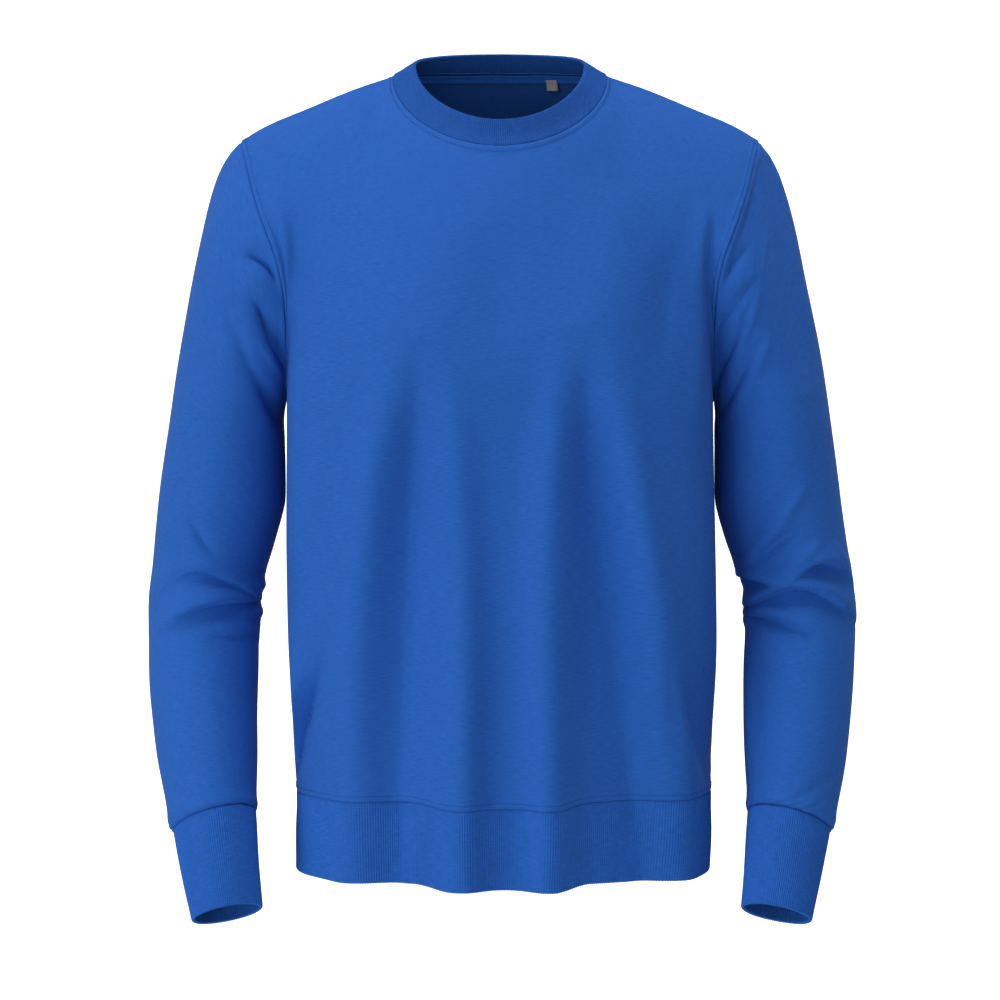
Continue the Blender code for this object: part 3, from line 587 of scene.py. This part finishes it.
# Where the cloth above a line hangs over the cloth below it, in millimetres: the line, the swelling above it,
# the drop below it and how far down that drop fades.
Ledge = namedtuple("Ledge", "x1 z1 x2 z2 x3 z3 rise drop reach")
LEFT_LEDGES = [
    Ledge(-286, -473, -246, -452, -202, -452, 4.6, 6.6, 22),
    Ledge(-286, -440, -248, -424, -204, -453, 2.4, 4.8, 10),
    Ledge(-252, -474, -229, -477, -203, -479, 1.6, 2.6, 12),
]
RIGHT_LEDGES = [
    Ledge(245, -435, 273, -416, 300, -434, 5.2, 6.8, 16),
    Ledge(203, -463, 254, -437, 303, -466, 6.0, 7.4, 16),
    Ledge(204, -464, 234, -464, 266, -479, 4.0, 5.2, 14),
    Ledge(199, -428, 216, -431, 234, -436, 3.4, 5.4, 10),
]
EYE = np.array([0.0009, -2.10, -0.364])  # where the overhangs' lines were read from


# ---- fine grids
def along_rows(grid, cells, closed=False):
    """The grid read along its rows at places given in cells, on smooth curves."""
    count, columns = grid.shape[:2]
    flat = grid.reshape(count, -1)
    if closed:
        flat = np.concatenate([flat[-3:], flat, flat[:4]])
        places = (cells + 3) / (len(flat) - 1)
    else:
        places = cells / (count - 1)
    return through(flat, places).reshape(len(cells), columns, 3)


def along_columns(grid, cells, closed=False):
    return along_rows(grid.swapaxes(0, 1), cells, closed).swapaxes(0, 1)


def schedule(cells, length, near_first, near_last, step=STEP):
    """Places in cells along a line of that length: every step, and closer together next to a seam."""
    zone = np.arange(0, SEAM_ZONE, SEAM_STEP)
    first = zone if near_first else zone[:1]
    last = length - (zone if near_last else zone[:1])[::-1]
    count = int(round((last[0] - first[-1]) / step)) + 1
    middle = np.linspace(first[-1], last[0], count)
    return np.concatenate([first[:-1], middle, last[1:]]) / length * cells


def lengths(grid, axis):
    """Distance along the grid from its first row or column."""
    steps = np.linalg.norm(np.diff(grid, axis=axis), axis=2)
    start = np.zeros_like(steps.take([0], axis=axis))
    return np.concatenate([start, np.cumsum(steps, axis=axis)], axis=axis)


def fine_panel(coarse):
    """A body panel with close points; its upper edge keeps its corners at the neck points."""
    rows, columns = coarse.shape[0] - 1, coarse.shape[1] - 1
    at_row = schedule(rows, lengths(coarse, 0)[-1].mean(), True, True)
    at_column = schedule(columns, lengths(coarse, 1)[:, -1].mean(), True, True)
    ladder = along_rows(coarse, at_row)
    smooth = along_columns(ladder, at_column)
    cornered = smooth.copy()
    for low, high in ((0, NECK[0]), NECK, (NECK[1], columns)):
        inside = (at_column >= low) & (at_column <= high)
        cornered[:, inside] = along_columns(ladder[:, low:high + 1], at_column[inside] - low)
    near_top = ease(1 - (rows - at_row))[:, None, None]
    return smooth + (cornered - smooth) * near_top, at_column


def fine_tube(coarse, cells, step, near_last):
    """A tube with close points, at the places round it given in cells."""
    at_row = schedule(len(coarse) - 1, lengths(coarse, 0)[-1].mean(), True, near_last, step)
    return along_columns(along_rows(coarse, at_row), cells, True)


def outward(points):
    """Level directions out of the body, the same for all its pieces."""
    sides = [np.sign(place) * abs(place / half) ** 1.9 / half
             for place, half in zip((points[..., 0], points[..., 1]), TRUNK)]
    return unit(np.stack([*sides, 0 * sides[0]], axis=-1))


def fallen(points):
    """The body's cloth with its falling folds, none at the side seams, and the hem lower in the middle."""
    x, y = points[..., 0], points[..., 1]
    front = folds(points, FRONT_FOLDS) + line_push(points, FRONT_FALLS)
    push = np.where(y < SIDE_Y, front, folds(points, BACK_FOLDS))
    push *= 1 - np.clip(abs(x) / TRUNK_SIDE_X, 0, 1) ** 7
    moved = points + outward(points) * push[..., None]
    x, y, z = (moved[..., axis] for axis in range(3))
    across = ease((DROP_HALF_WIDTH - abs(x - DROP_X)) / DROP_FADE)
    moved[..., 2] -= DROP * across * (y < 0) * ease((DROP_FROM_Z - z) / DROP_GROWTH)
    return moved


def beside(points, row):
    """How far points lie beside a row's line as seen from the front, and how strong the line is there.

    The distance is positive below the line, or to the left of one that runs down.
    """
    seen = points[..., [0, 2]]
    corners = np.array(row[:6]).reshape(3, 2) / 1000
    long = np.linalg.norm(corners[2] - corners[0])
    along = np.linspace(0, 1, 25 + int(long / 0.003))
    weights = (1 - along) * (1 - 2 * along), 4 * along * (1 - along), along * (2 * along - 1)
    curve = sum(weight[:, None] * corner for weight, corner in zip(weights, corners))
    slope = unit(np.gradient(curve, axis=0))
    gap = seen[..., None, :] - curve
    nearest = np.argmin((gap**2).sum(-1), axis=-1)
    offset = np.take_along_axis(gap, nearest[..., None, None], axis=-2)[..., 0, :]
    direction = slope[nearest]
    aside = offset[..., 0] * direction[..., 1] - offset[..., 1] * direction[..., 0]
    past_end = (nearest == 0) | (nearest == len(along) - 1)
    beyond = past_end * (offset * direction).sum(-1)
    end = 0.04 * min(1, 0.1 / long)
    taper = np.sin(math.pi * np.clip(along[nearest], end, 1 - end)) ** 0.8
    return aside, taper * bell(beyond / max(0.006, 0.06 * long))


def line_push(points, lines):
    """Height of the creases at points."""
    push = np.zeros(points.shape[:-1])
    for line in lines:
        aside, strength = beside(points, line)
        width = np.where(aside < 0, line.near, line.far) / 1000
        push += line.height / 1000 * strength * np.exp(-np.sqrt((aside / width) ** 2 + 0.01) ** line.round)
    return push


def ledge_push(points, ledges):
    """Height of ledges at points: the cloth swells above the line and lies back below it."""
    push = np.zeros(points.shape[:-1])
    for ledge in ledges:
        below, strength = beside(points, ledge)
        swell = ledge.rise / 1000 * bell(np.minimum(below, 0) / LEDGE_SWELL)
        fall = (ledge.rise + ledge.drop) / 1000 * ease(below / LEDGE_WIDTH)
        back = bell(np.maximum(below - LEDGE_WIDTH, 0) / (ledge.reach / 1000))
        push += strength * np.where(below < LEDGE_WIDTH, swell - fall, -ledge.drop / 1000 * back)
    return push


def tuck(points, fade):
    """The front's points with the side laid back beside the overhang, moved along the viewer's sight."""
    fold = Tuck(*np.array(FRONT_TUCK) / 1000)
    line = bow(fold, np.clip(points[..., 2], fold.z3, fold.z1))
    past = (points[..., 0] - line) * np.sign(fold.x1)
    share = np.clip((fold.z1 - points[..., 2]) / (fold.z1 - fold.z3), 0, 1)
    depth = [np.interp(places[:1], row[:, 0], row[:, 1])[0] for row, places in zip(points, line)]
    wanted = np.array(depth)[:, None] + fold.depth - TUCK_RISE * past
    strength = fade * ease(share / 0.7) * ease((1 - share) / 0.12) * ease(past / 0.005)
    sight = unit(points - EYE)
    return points + sight * (strength * (wanted - points[..., 1]) / sight[..., 1])[..., None]


def waves(points, size, seed):
    """Slow unevenness between -1 and 1, the same on every run."""
    total = np.zeros(points.shape[:-1])
    for turn in range(7):
        angle = seed + 2.4 * turn
        tilt = np.array([math.cos(angle), math.sin(1.7 * angle), math.sin(angle)])
        total += np.sin(points @ tilt * (2 * math.pi / size) * (0.7 + 0.11 * turn) + 1.3 * turn + seed)
    return total / 7 * 1.8


def ripples(along, pitch, drift, drift_pitch):
    """A wave along a line whose pitch wanders a little, between -1 and 1."""
    turns = along * 2 * math.pi
    return np.sin(turns / pitch + drift * np.sin(turns / drift_pitch))


def small_form(rise, distance):
    return rise.height * bell((distance - rise.at) / rise.width)


def seam_relief(distance, along):
    """Raised allowance, the stitches' groove, the rolled edge and small puckers beside a seam."""
    raised = ALLOWANCE * (1 - ease((distance - ALLOWANCE_WIDTH) / ALLOWANCE_STEP))
    puckers = small_form(PUCKERS, distance) * ripples(along, 0.0115, 1.6, 0.071)
    return raised - small_form(GROOVE, distance) + puckers - small_form(PANEL_ROLL, distance)


# ---- meshes
def placed(name, data):
    """A new object in the scene with that mesh, light or camera."""
    thing = bpy.data.objects.new(name, data)
    bpy.context.scene.collection.objects.link(thing)
    return thing


def add_mesh(name, points, faces, uvs, material, inside=None):
    """A smooth mesh from arrays, turned so that its faces look out; inside is the share of painted shade at
    each point, 1 on the wearer's side.
    """
    a, b, c, d = (points[faces[:, corner]] for corner in range(4))
    volume = np.einsum("ij,ij->", a, np.cross(b, c) + np.cross(c, d))
    if volume < 0:
        faces, uvs = faces[:, ::-1], uvs[:, ::-1]
    mesh = bpy.data.meshes.new(name)
    mesh.from_pydata(points.tolist(), [], faces.tolist())
    layer = mesh.uv_layers.new(name="cloth")
    layer.data.foreach_set("uv", np.ascontiguousarray(uvs, dtype=np.float32).ravel())
    if inside is not None:
        shade = mesh.attributes.new("inside", "FLOAT", "POINT")
        shade.data.foreach_set("value", inside.astype(np.float32))
    mesh.materials.append(material)
    mesh.shade_smooth()
    mesh.update()
    return placed(name, mesh)


def grid_faces(rows, columns, closed_rows, closed_columns):
    """Corner numbers of the faces of a grid, and their row and column numbers."""
    r = np.arange(rows if closed_rows else rows - 1)
    c = np.arange(columns if closed_columns else columns - 1)
    r, c = (side.ravel() for side in np.meshgrid(r, c, indexing="ij"))
    r2, c2 = (r + 1) % rows, (c + 1) % columns
    faces = np.stack([r * columns + c, r * columns + c2, r2 * columns + c2, r2 * columns + c], axis=1)
    return faces, r, c


def shell(name, middle, outer, inner, closed, material, free_last=False, inner_painted_shade=0.0, grooves=0.0):
    """A thin wall between an outer and an inner grid.

    With free_last its last edge is a rounded fold; the argument after it gives the painted shade of the inner
    side, and grooves gives the painted shade of each column, dark in the hollows between ribs.
    """
    rows = [outer]
    if free_last:
        edge = (outer[-1] + inner[-1]) / 2
        half = (outer[-1] - inner[-1]) / 2
        thick = np.linalg.norm(half, axis=1, keepdims=True)
        leaving = unit(middle[-1] - middle[-2]) * thick
        turns = np.linspace(0, math.pi, 9)[1:-1]
        rows.append(np.array([edge + half * math.cos(t) + leaving * math.sin(t) for t in turns]))
    rows.append(inner[::-1])
    rings = np.concatenate(rows)
    count, columns = rings.shape[:2]
    faces, r, c = grid_faces(count, columns, True, closed)
    over = np.concatenate([lengths(middle, 1).mean(axis=0), [0]])
    if closed:
        over[-1] = over[-2] + np.linalg.norm(middle[:, 0] - middle[:, -1], axis=1).mean()
    down = lengths(rings, 0).mean(axis=1)
    down = np.concatenate([down, [down[-1] + CLOTH]])
    around = (0, 0), (1, 0), (1, 1), (0, 1)
    uvs = np.stack([np.stack([over[c + aside], down[r + below]], 1) for aside, below in around], axis=1)
    if not closed:
        low = np.arange(len(outer) - 1)
        for column, flip in ((0, 1), (columns - 1, -1)):
            corners = np.stack([low, low + 1, count - 2 - low, count - 1 - low], axis=1)
            side = (corners * columns + column)[:, ::flip]
            faces = np.concatenate([faces, side])
            uvs = np.concatenate([uvs, np.zeros((len(side), 4, 2))])
    # Painted shade: how much darker each point is drawn, on the inner side and in the hollows between ribs.
    inside = inner_painted_shade * (np.arange(count) >= count - len(inner))[:, None]
    inside = np.maximum(inside, np.broadcast_to(grooves, columns)).ravel()
    return add_mesh(name, rings.reshape(-1, 3), faces, uvs, material, inside)


def stitches(name, line, normals, material, size):
    """A row of short threads lying along a line on the cloth."""
    width, height = size
    along = distances(line)
    share = np.array([0.0, 0.12, 0.5, 0.88, 1.0]) * STITCH_LENGTH
    fat = np.array([0.25, 0.8, 1.0, 0.8, 0.25])
    turns = np.linspace(0, 2 * math.pi, 7)[:-1]
    quads = grid_faces(len(share), len(turns), False, True)[0]
    ends = np.array([[5, 4, 1, 0], [4, 3, 2, 1]])
    thread = np.concatenate([quads, ends, ends[:, ::-1] + len(turns) * (len(share) - 1)])
    points, faces = [], []
    for start in np.arange(0.001, along[-1] - STITCH_PITCH, STITCH_PITCH):
        middle = read_at(start + share, along, line)
        up = unit(read_at(start + share, along, normals))
        ahead = unit(middle[-1] - middle[0])
        aside = unit(np.cross(np.broadcast_to(ahead, up.shape), up))
        faces.append(thread + len(points))
        points += [middle[k] + fat[k] * (aside[k] * width * math.cos(t) + up[k] * height * math.sin(t))
                   for k in range(len(share)) for t in turns]
    faces = np.concatenate(faces)
    return add_mesh(name, np.array(points), faces, np.zeros((len(faces), 4, 2)), material)


def at_distance(surface, distance, wanted):
    """The line on a surface at a distance from its seam, column by column."""
    columns = range(surface.shape[1])
    return np.array([read_at(wanted, distance[:, column], surface[:, column]) for column in columns])


# ---- materials
def fill(inputs, **values):
    for name, value in values.items():
        inputs[name.replace("_", " ")].default_value = value


def node(tree, kind, source=None, **values):
    """A new node with its values set; an output may lead to its first input."""
    made = tree.nodes.new(kind)
    fill(made.inputs, **values)
    if source is not None:
        tree.links.new(source, made.inputs[0])
    return made


def new_material(name):
    material = bpy.data.materials.new(name)
    material.use_nodes = True
    return material, material.node_tree, material.node_tree.nodes["Principled BSDF"].inputs


def weighted(tree, value, weight, base):
    """The base plus a value times its weight."""
    made = node(tree, "ShaderNodeMath")
    made.operation = "MULTIPLY_ADD"
    made.inputs[1].default_value = weight
    tree.links.new(value, made.inputs[0])
    tree.links.new(base, made.inputs[2])
    return made.outputs["Value"]


def cloth_material(name, colour, spread, roughness, sheen, knit, weave):
    """Knit cloth with slight changes of tone, fine wales and courses, a soft sheen, and painted shade where
    the inside attribute is set.
    """
    material, tree, shader = new_material(name)
    fill(shader, Roughness=roughness, Specular_IOR_Level=0.12, Sheen_Weight=sheen, Sheen_Roughness=0.45,
         Sheen_Tint=(0.45, 0.62, 1.0, 1.0))
    place = node(tree, "ShaderNodeTexCoord").outputs
    stretch = node(tree, "ShaderNodeMapping", place["UV"], Scale=(120.0, 1100.0, 1.0))
    streaks = node(tree, "ShaderNodeTexNoise", stretch.outputs[0], Scale=1.0, Detail=3.0, Roughness=0.6)
    patches = node(tree, "ShaderNodeTexNoise", place["Object"], Scale=55.0, Detail=2.0, Roughness=0.5)
    both = weighted(tree, patches.outputs["Fac"], 0.12, streaks.outputs["Fac"])
    reach = node(tree, "ShaderNodeMapRange", both, From_Min=0.26, From_Max=0.86)
    ramp = node(tree, "ShaderNodeValToRGB", reach.outputs[0])
    for element, change in zip(ramp.color_ramp.elements, (1 - spread, 1 + spread)):
        element.color = [change * part for part in colour] + [1]
    # Painted shade: the colour is darkened by the inside attribute, on the cloth's inner side and in the
    # hollows between ribs.
    side = node(tree, "ShaderNodeAttribute")
    side.attribute_name = "inside"
    shade = node(tree, "ShaderNodeMix")
    shade.data_type, shade.blend_type = "RGBA", "MULTIPLY"
    factor, first, second = (shade.inputs[number] for number in (0, 6, 7))
    second.default_value = (INSIDE_PAINTED_SHADE, INSIDE_PAINTED_SHADE, INSIDE_PAINTED_SHADE, 1)
    tree.links.new(side.outputs["Fac"], factor)
    tree.links.new(ramp.outputs["Color"], first)
    tree.links.new(shade.outputs[2], shader["Base Color"])
    stretch = node(tree, "ShaderNodeMapping", place["UV"], Scale=(*weave, 1.0))
    loops = node(tree, "ShaderNodeTexWave", stretch.outputs[0], Scale=1.0, Distortion=1.2, Detail=1.0,
                 Detail_Scale=1.5)
    loops.bands_direction = "DIAGONAL"
    height = weighted(tree, loops.outputs["Fac"], 0.5, streaks.outputs["Fac"])
    bump = node(tree, "ShaderNodeBump", Strength=knit, Distance=0.0003)
    tree.links.new(height, bump.inputs["Height"])
    tree.links.new(bump.outputs["Normal"], shader["Normal"])
    return material


# Colour, spread of shade, roughness, sheen, depth of the knit, and its wales and courses in a metre.
FLEECE = cloth_material("fleece_jersey", (0.0218, 0.118, 0.475), 0.22, 0.90, 0.06, 0.30, (480, 620))
RIB_KNIT = cloth_material("rib_knit", (0.0236, 0.132, 0.535), 0.28, 0.88, 0.06, 0.30, (520, 700))
# The neck rib's colour is the rib knit painted darker, for the shade that falls on the neck rib.
NECK_KNIT_PAINTED_SHADE = cloth_material("neck_rib_knit_painted_shade", (0.0182, 0.101, 0.415), 0.28, 0.88, 0.06, 0.30, (520, 700))
# The thread is painted darker than the cloth, for the shadow in its stitch groove.
THREAD_PAINTED_SHADE = cloth_material("sewing_thread_painted_shade", (0.0125, 0.078, 0.330), 0.1, 0.80, 0.05, 0.20, (900, 900))
BRIGHT_THREAD = cloth_material("light_thread", (0.060, 0.220, 0.700), 0.1, 0.60, 0.10, 0.20, (900, 900))
TAPE_WEAVE = cloth_material("herringbone_tape", (0.0210, 0.122, 0.500), 0.2, 0.85, 0.05, 0.60, (900, 900))
TAB_WEAVE = cloth_material("woven_tab", (0.450, 0.440, 0.420), 0.2, 0.80, 0.05, 0.50, (1100, 1100))


# ---- the garment
def dress(piece, node_name):
    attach(piece, "root")
    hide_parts(node_name)


def trim(piece):
    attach(piece, "root")


def body_panel(front):
    """Front or back panel with its folds, seams and topstitches; gives the inner side of its neckline."""
    name = "front" if front else "back"
    facing = 1 if front else -1
    lower = body_levels(np.linspace(HEM_SEAM_Z, UNDERARM_ROW_Z, SIDE_ROWS), front)
    middle, at_column = fine_panel(np.concatenate([lower, upper_lines(front)]))
    middle = fallen(middle)
    normals = grid_normals(middle, False) * facing
    lines = BODY_FRONT_LINES if front else BODY_BACK_LINES
    swell = line_push(middle, lines) + UNEVEN * waves(middle, 0.16, 1.0 if front else 4.0)
    up, over = lengths(middle, 0), lengths(middle, 1)
    to_top, over_back = up[-1:] - up, over[:, -1:] - over
    to_side = np.minimum(over, over_back)
    fade = ease(np.minimum(np.minimum(up, to_top), to_side) / EDGE_FADE)
    middle = middle + normals * (swell * fade)[..., None]
    if front:
        middle = tuck(middle, fade)
    normals = grid_normals(middle, False) * facing
    beside_neck = (at_column >= NECK[0] - 0.1) & (at_column <= NECK[1] + 0.1)
    relief = seam_relief(up, over)
    relief += seam_relief(to_top, over) * np.where(beside_neck, 1.0, 0.5)[None]
    armhole_rows = ease((middle[:, :1, 2] - ARMHOLE_FROM_Z) / ARMHOLE_GROWTH)
    relief += seam_relief(to_side, up) * (SIDE_SHARE + (1 - SIDE_SHARE) * armhole_rows)
    outer = middle + normals * (CLOTH / 2 + relief)[..., None]
    inner = middle - normals * (CLOTH / 2)
    # The inner side of the panel gets painted shade.
    dress(shell(f"{name}_cloth", middle, outer, inner, False, FLEECE, inner_painted_shade=1.0),
          f"{name}_panel")
    topstitch(f"{name}_hem_stitches", at_distance(outer, up, STITCH_AT), normals[4])
    neck = np.flatnonzero(beside_neck)
    to_neck, neck_outer, neck_inner, neck_normals = (
        grid[::-1, neck] for grid in (to_top, outer, inner, normals))
    line = at_distance(neck_outer, to_neck, STITCH_AT + NECK_STITCH_MORE)
    topstitch(f"{name}_neck_stitches", line, neck_normals[4])
    above = middle[:, 0, 2] > ARMHOLE_FROM_Z
    for side, distance in (("left", over), ("right", over_back)):
        inwards = slice(None, None, -SIGN[side])
        surface, distance = outer[above, inwards].swapaxes(0, 1), distance[above, inwards].T
        line = at_distance(surface, distance, STITCH_AT)
        topstitch(f"{name}_armhole_stitches_{side}", line, normals[above, inwards][:, 4])
    return neck_inner, to_neck, neck_normals


def topstitch(name, line, normals):
    trim(stitches(name, line, normals, THREAD_PAINTED_SHADE, THREAD_SIZE))


def band(name, coarse, material, node_name, length, finish=None, flip=1, inner_painted_shade=1.0, roll=BAND_ROLL):
    """A folded rib band: seam at its first row, rounded fold at its last, with its ribs as real ridges."""
    count = int(round(length / WALE_PITCH)) * WALE_POINTS
    cells = np.arange(count) / count * coarse.shape[1]
    middle = fine_tube(coarse, cells, BAND_STEP, False)
    if finish is not None:
        middle = finish(middle)
    normals = grid_normals(middle, True) * flip
    down = lengths(middle, 0)
    wales = np.cos(2 * math.pi * np.arange(count) / WALE_POINTS)
    ridge = WALE_DEPTH * wales * ease(down / WALE_START)
    swell = UNEVEN / 2 * waves(middle, 0.05, 2.0)
    outer = middle + normals * (RIB / 2 + ridge - small_form(roll, down) + swell)[..., None]
    inner = middle - normals * (RIB / 2 + ridge - swell)[..., None]
    # Painted shade in the hollows between the ribs, and on the inner side as the band is given.
    piece = shell(name, middle, outer, inner, True, material, free_last=True, inner_painted_shade=inner_painted_shade,
                  grooves=GROOVE_PAINTED_SHADE * (1 - wales) / 2)
    dress(piece, node_name)
    return middle, inner, normals


def flatter(middle):
    """The neck rib lies flatter on the shoulders than a rounded tube."""
    down = lengths(middle, 0)
    return middle - grid_normals(middle, True) * (NECK_FLAT * np.sin(math.pi * down / down[-1:]))[..., None]


def collar():
    """The neck rib, with the light stitches that show inside the back neck."""
    middle, inner, normals = band("neck_band", neck_band(), NECK_KNIT_PAINTED_SHADE, "neck_rib", 0.54,
                                  flatter, inner_painted_shade=0.0)
    behind = np.flatnonzero(middle[0, :, 1] > NECK_BACK_Y)
    line = at_distance(inner[:, behind], lengths(middle, 0)[:, behind], INSIDE_STITCH_AT)
    order = np.argsort(line[:, 0])
    thread = stitches("inside_neck_stitches", line[order], -normals[2, behind][order], BRIGHT_THREAD,
                      BRIGHT_THREAD_SIZE)
    trim(thread)


def arm_push(middle, normals, degrees, side):
    """How far a sleeve's cloth stands out by its creases, ledges and slow unevenness."""
    push = np.zeros(middle.shape[:2])
    for crease in CREASES:
        turn = (degrees - crease.angle + 180) % 360 - 180
        across = (middle[..., 2] - crease.z - crease.rise * turn / 90) / crease.width
        push -= crease.depth * bell(turn / crease.reach) * (bell(across) - 0.6 * bell(across + 2))
    ahead = ease((0.35 - normals[..., 1]) / 0.7)
    left = side == "left"
    lines, ledges = (LEFT_FRONT_LINES, LEFT_LEDGES) if left else (RIGHT_FRONT_LINES, RIGHT_LEDGES)
    push += ahead * (line_push(middle, lines) + ledge_push(middle, ledges))
    push += (1 - ahead) * line_push(middle * (SIGN[side], 1, 1), ARM_BACK_LINES)
    return push + UNEVEN * waves(middle, 0.12, 3.0 if left else 5.0)


def arm(side):
    """A sleeve with its creases, and its cuff."""
    flip = SIGN[side]
    coarse = sleeve(side)
    count = int(round(lengths(coarse, 1)[:, -1].max() / STEP))
    cells = np.linspace(0, coarse.shape[1], count + 1)[:-1]
    middle = fine_tube(coarse, cells, SLEEVE_STEP, True)
    normals = grid_normals(middle, True) * flip
    push = arm_push(middle, normals, cells / coarse.shape[1] * 360, side)
    down = lengths(middle, 0)
    to_cuff = down[-1:] - down
    push *= ease(np.minimum(down, to_cuff) / SLEEVE_FADE)
    middle = middle + normals * push[..., None]
    normals = grid_normals(middle, True) * flip
    relief = small_form(PUFF, to_cuff) - small_form(SLEEVE_ROLL, down) - small_form(WRIST_ROLL, to_cuff)
    relief += small_form(GATHERS, to_cuff) * ripples(lengths(middle, 1), 0.013, 2, 0.06)
    outer = middle + normals * (CLOTH / 2 + relief)[..., None]
    inner = middle - normals * (CLOTH / 2)
    # The inner side of the sleeve gets painted shade.
    piece = shell(f"sleeve_cloth_{side}", middle, outer, inner, True, FLEECE, inner_painted_shade=1.0)
    dress(piece, f"sleeve_{side}")
    band(f"cuff_band_{side}", cuff(side), RIB_KNIT, f"cuff_{side}", 0.215,
         flip=flip, roll=CUFF_ROLL)


def tape(inner, distance, normals):
    """The tape inside the back neck, below the neckline; its long edges are woven thicker."""
    start, end = (int(share * inner.shape[1]) for share in TAPE_ENDS)
    shown = slice(start, end + 1)
    surface, distance = inner[:, shown], distance[:, shown]
    out_there = normals[:3, shown].mean(axis=0)
    share = np.array([0, 0.06, 0.14, 0.25, 0.5, 0.75, 0.86, 0.94, 1])
    thickness = TAPE * np.array([0.6, 1.2, 1.2, 0.9, 0.85, 0.9, 1.2, 1.2, 0.6])
    widths = TAPE_INSET + (TAPE_WIDTH - TAPE_INSET) * share
    near = np.array([at_distance(surface, distance, width) for width in widths]) - out_there * TAPE_LIFT
    far = near - out_there * thickness[:, None, None]
    piece = shell("back_neck_tape", near, near, far, False, TAPE_WEAVE)
    dress(piece, "neck_tape")
    return far, out_there


def tab(face, out_there):
    """The bare size tab: a folded woven square with a raised border, hanging from the tape."""
    lower, upper = face[-1], face[0]
    along = distances(lower)
    across = np.interp(TAB_X, lower[:, 0], along) + np.linspace(-0.5, 0.5, TAB_POINTS) * TAB_WIDTH
    low, high, out = (read_at(across, along, line) for line in (lower, upper, out_there))
    fall, out = unit(low - high), unit(out)
    places = np.linspace(TAB_DROP - TAB_HEIGHT, TAB_DROP, TAB_POINTS)
    from_end = np.minimum(np.arange(TAB_POINTS), np.arange(TAB_POINTS)[::-1])
    border = np.minimum(from_end[None], from_end[:, None])
    raised = np.where(border == 0, TAB_EDGE, np.where(border <= 2, TAB_BORDER, 0))
    hang = TAB_LIFT + TAB_LEAN * ease(places / TAB_DROP) ** 2
    near = low + fall * places[:, None, None] - out * hang[:, None, None]
    far = near - out * (TAB_THICKNESS + raised)[..., None]
    piece = shell("size_tab_cloth", near, near, far, False, TAB_WEAVE)
    dress(piece, "size_tab")


def build():
    body_panel(True)
    tab(*tape(*body_panel(False)))
    band("hem_band", hem_band(), RIB_KNIT, "hem_rib", 1.05, fallen, flip=-1)
    collar()
    for side in SIGN:
        arm(side)


# ---- the studio
Lamp = namedtuple("Lamp", "name x y z aim_z size power")
LAMPS = [
    Lamp("top", 0.0, -0.52, 2.59, -0.36, 1.4, 48.0),
    Lamp("low left", -1.58, -1.88, -2.08, -0.36, 1.4, 26.0),
    Lamp("left", -2.68, -1.25, 0.16, -0.36, 1.4, 17.5),
    Lamp("front", -0.40, -3.10, -0.90, -0.36, 1.4, 9.0),
    Lamp("rim", 0.6, 2.7, 0.6, -0.30, 1.6, 8.0),
]
# radii and heights of the cove, from the middle of the floor to the middle of the ceiling
COVE = [(0, -1.4), (3.6, -1.4), (4.4, -1.28), (4.9, -0.9), (5.1, -0.3), (5.1, 3), (4.6, 4.4), (0, 5.4)]
DAYLIGHT = (0.97, 0.98, 1.0, 1)
DAYLIGHT_STRENGTH = 0.43
CAMERA = (0.0, -2.10, -0.3653)
LENS = 87.6


def white_material():
    material, _, shader = new_material("studio_white")
    fill(shader, Base_Color=(0.9, 0.9, 0.9, 1), Roughness=0.9, Emission_Color=(1, 1, 1, 1),
         Emission_Strength=1.0)
    return material


def cove():
    """Pale floor, walls and ceiling, turned round the garment; only the camera sees them."""
    turns = np.linspace(0, 2 * math.pi, 65)[:-1]
    points = [(radius * math.cos(turn), radius * math.sin(turn), z) for radius, z in COVE for turn in turns]
    mesh = bpy.data.meshes.new("studio_cove")
    mesh.from_pydata(points, [], grid_faces(len(COVE), len(turns), False, True)[0].tolist())
    mesh.materials.append(white_material())
    walls = placed("studio_cove", mesh)
    walls.visible_diffuse = walls.visible_glossy = walls.visible_transmission = walls.visible_shadow = False


def studio():
    """The cove, soft light from the upper left of the front, and the camera."""
    cove()
    world = bpy.data.worlds.new("studio")
    world.use_nodes = True
    fill(world.node_tree.nodes["Background"].inputs, Color=DAYLIGHT, Strength=DAYLIGHT_STRENGTH)
    bpy.context.scene.world = world
    for lamp in LAMPS:
        light = bpy.data.lights.new(lamp.name, "AREA")
        light.size, light.energy = lamp.size, lamp.power
        across, ahead, up = -lamp.x, -lamp.y, lamp.aim_z - lamp.z
        fixture = placed(lamp.name, light)
        fixture.location = lamp.x, lamp.y, lamp.z
        rise = math.atan2(up, math.hypot(across, ahead))
        fixture.rotation_euler = (math.pi / 2 + rise, 0, -math.atan2(across, ahead))
    view = bpy.data.cameras.new("camera")
    view.lens, view.sensor_width, view.clip_end = LENS, 36.0, 50.0
    camera = placed("camera", view)
    camera.location = CAMERA
    camera.rotation_euler = (math.pi / 2, 0, 0)
    bpy.context.scene.camera = camera
    bpy.context.scene.view_settings.view_transform = "Standard"


build()
studio()
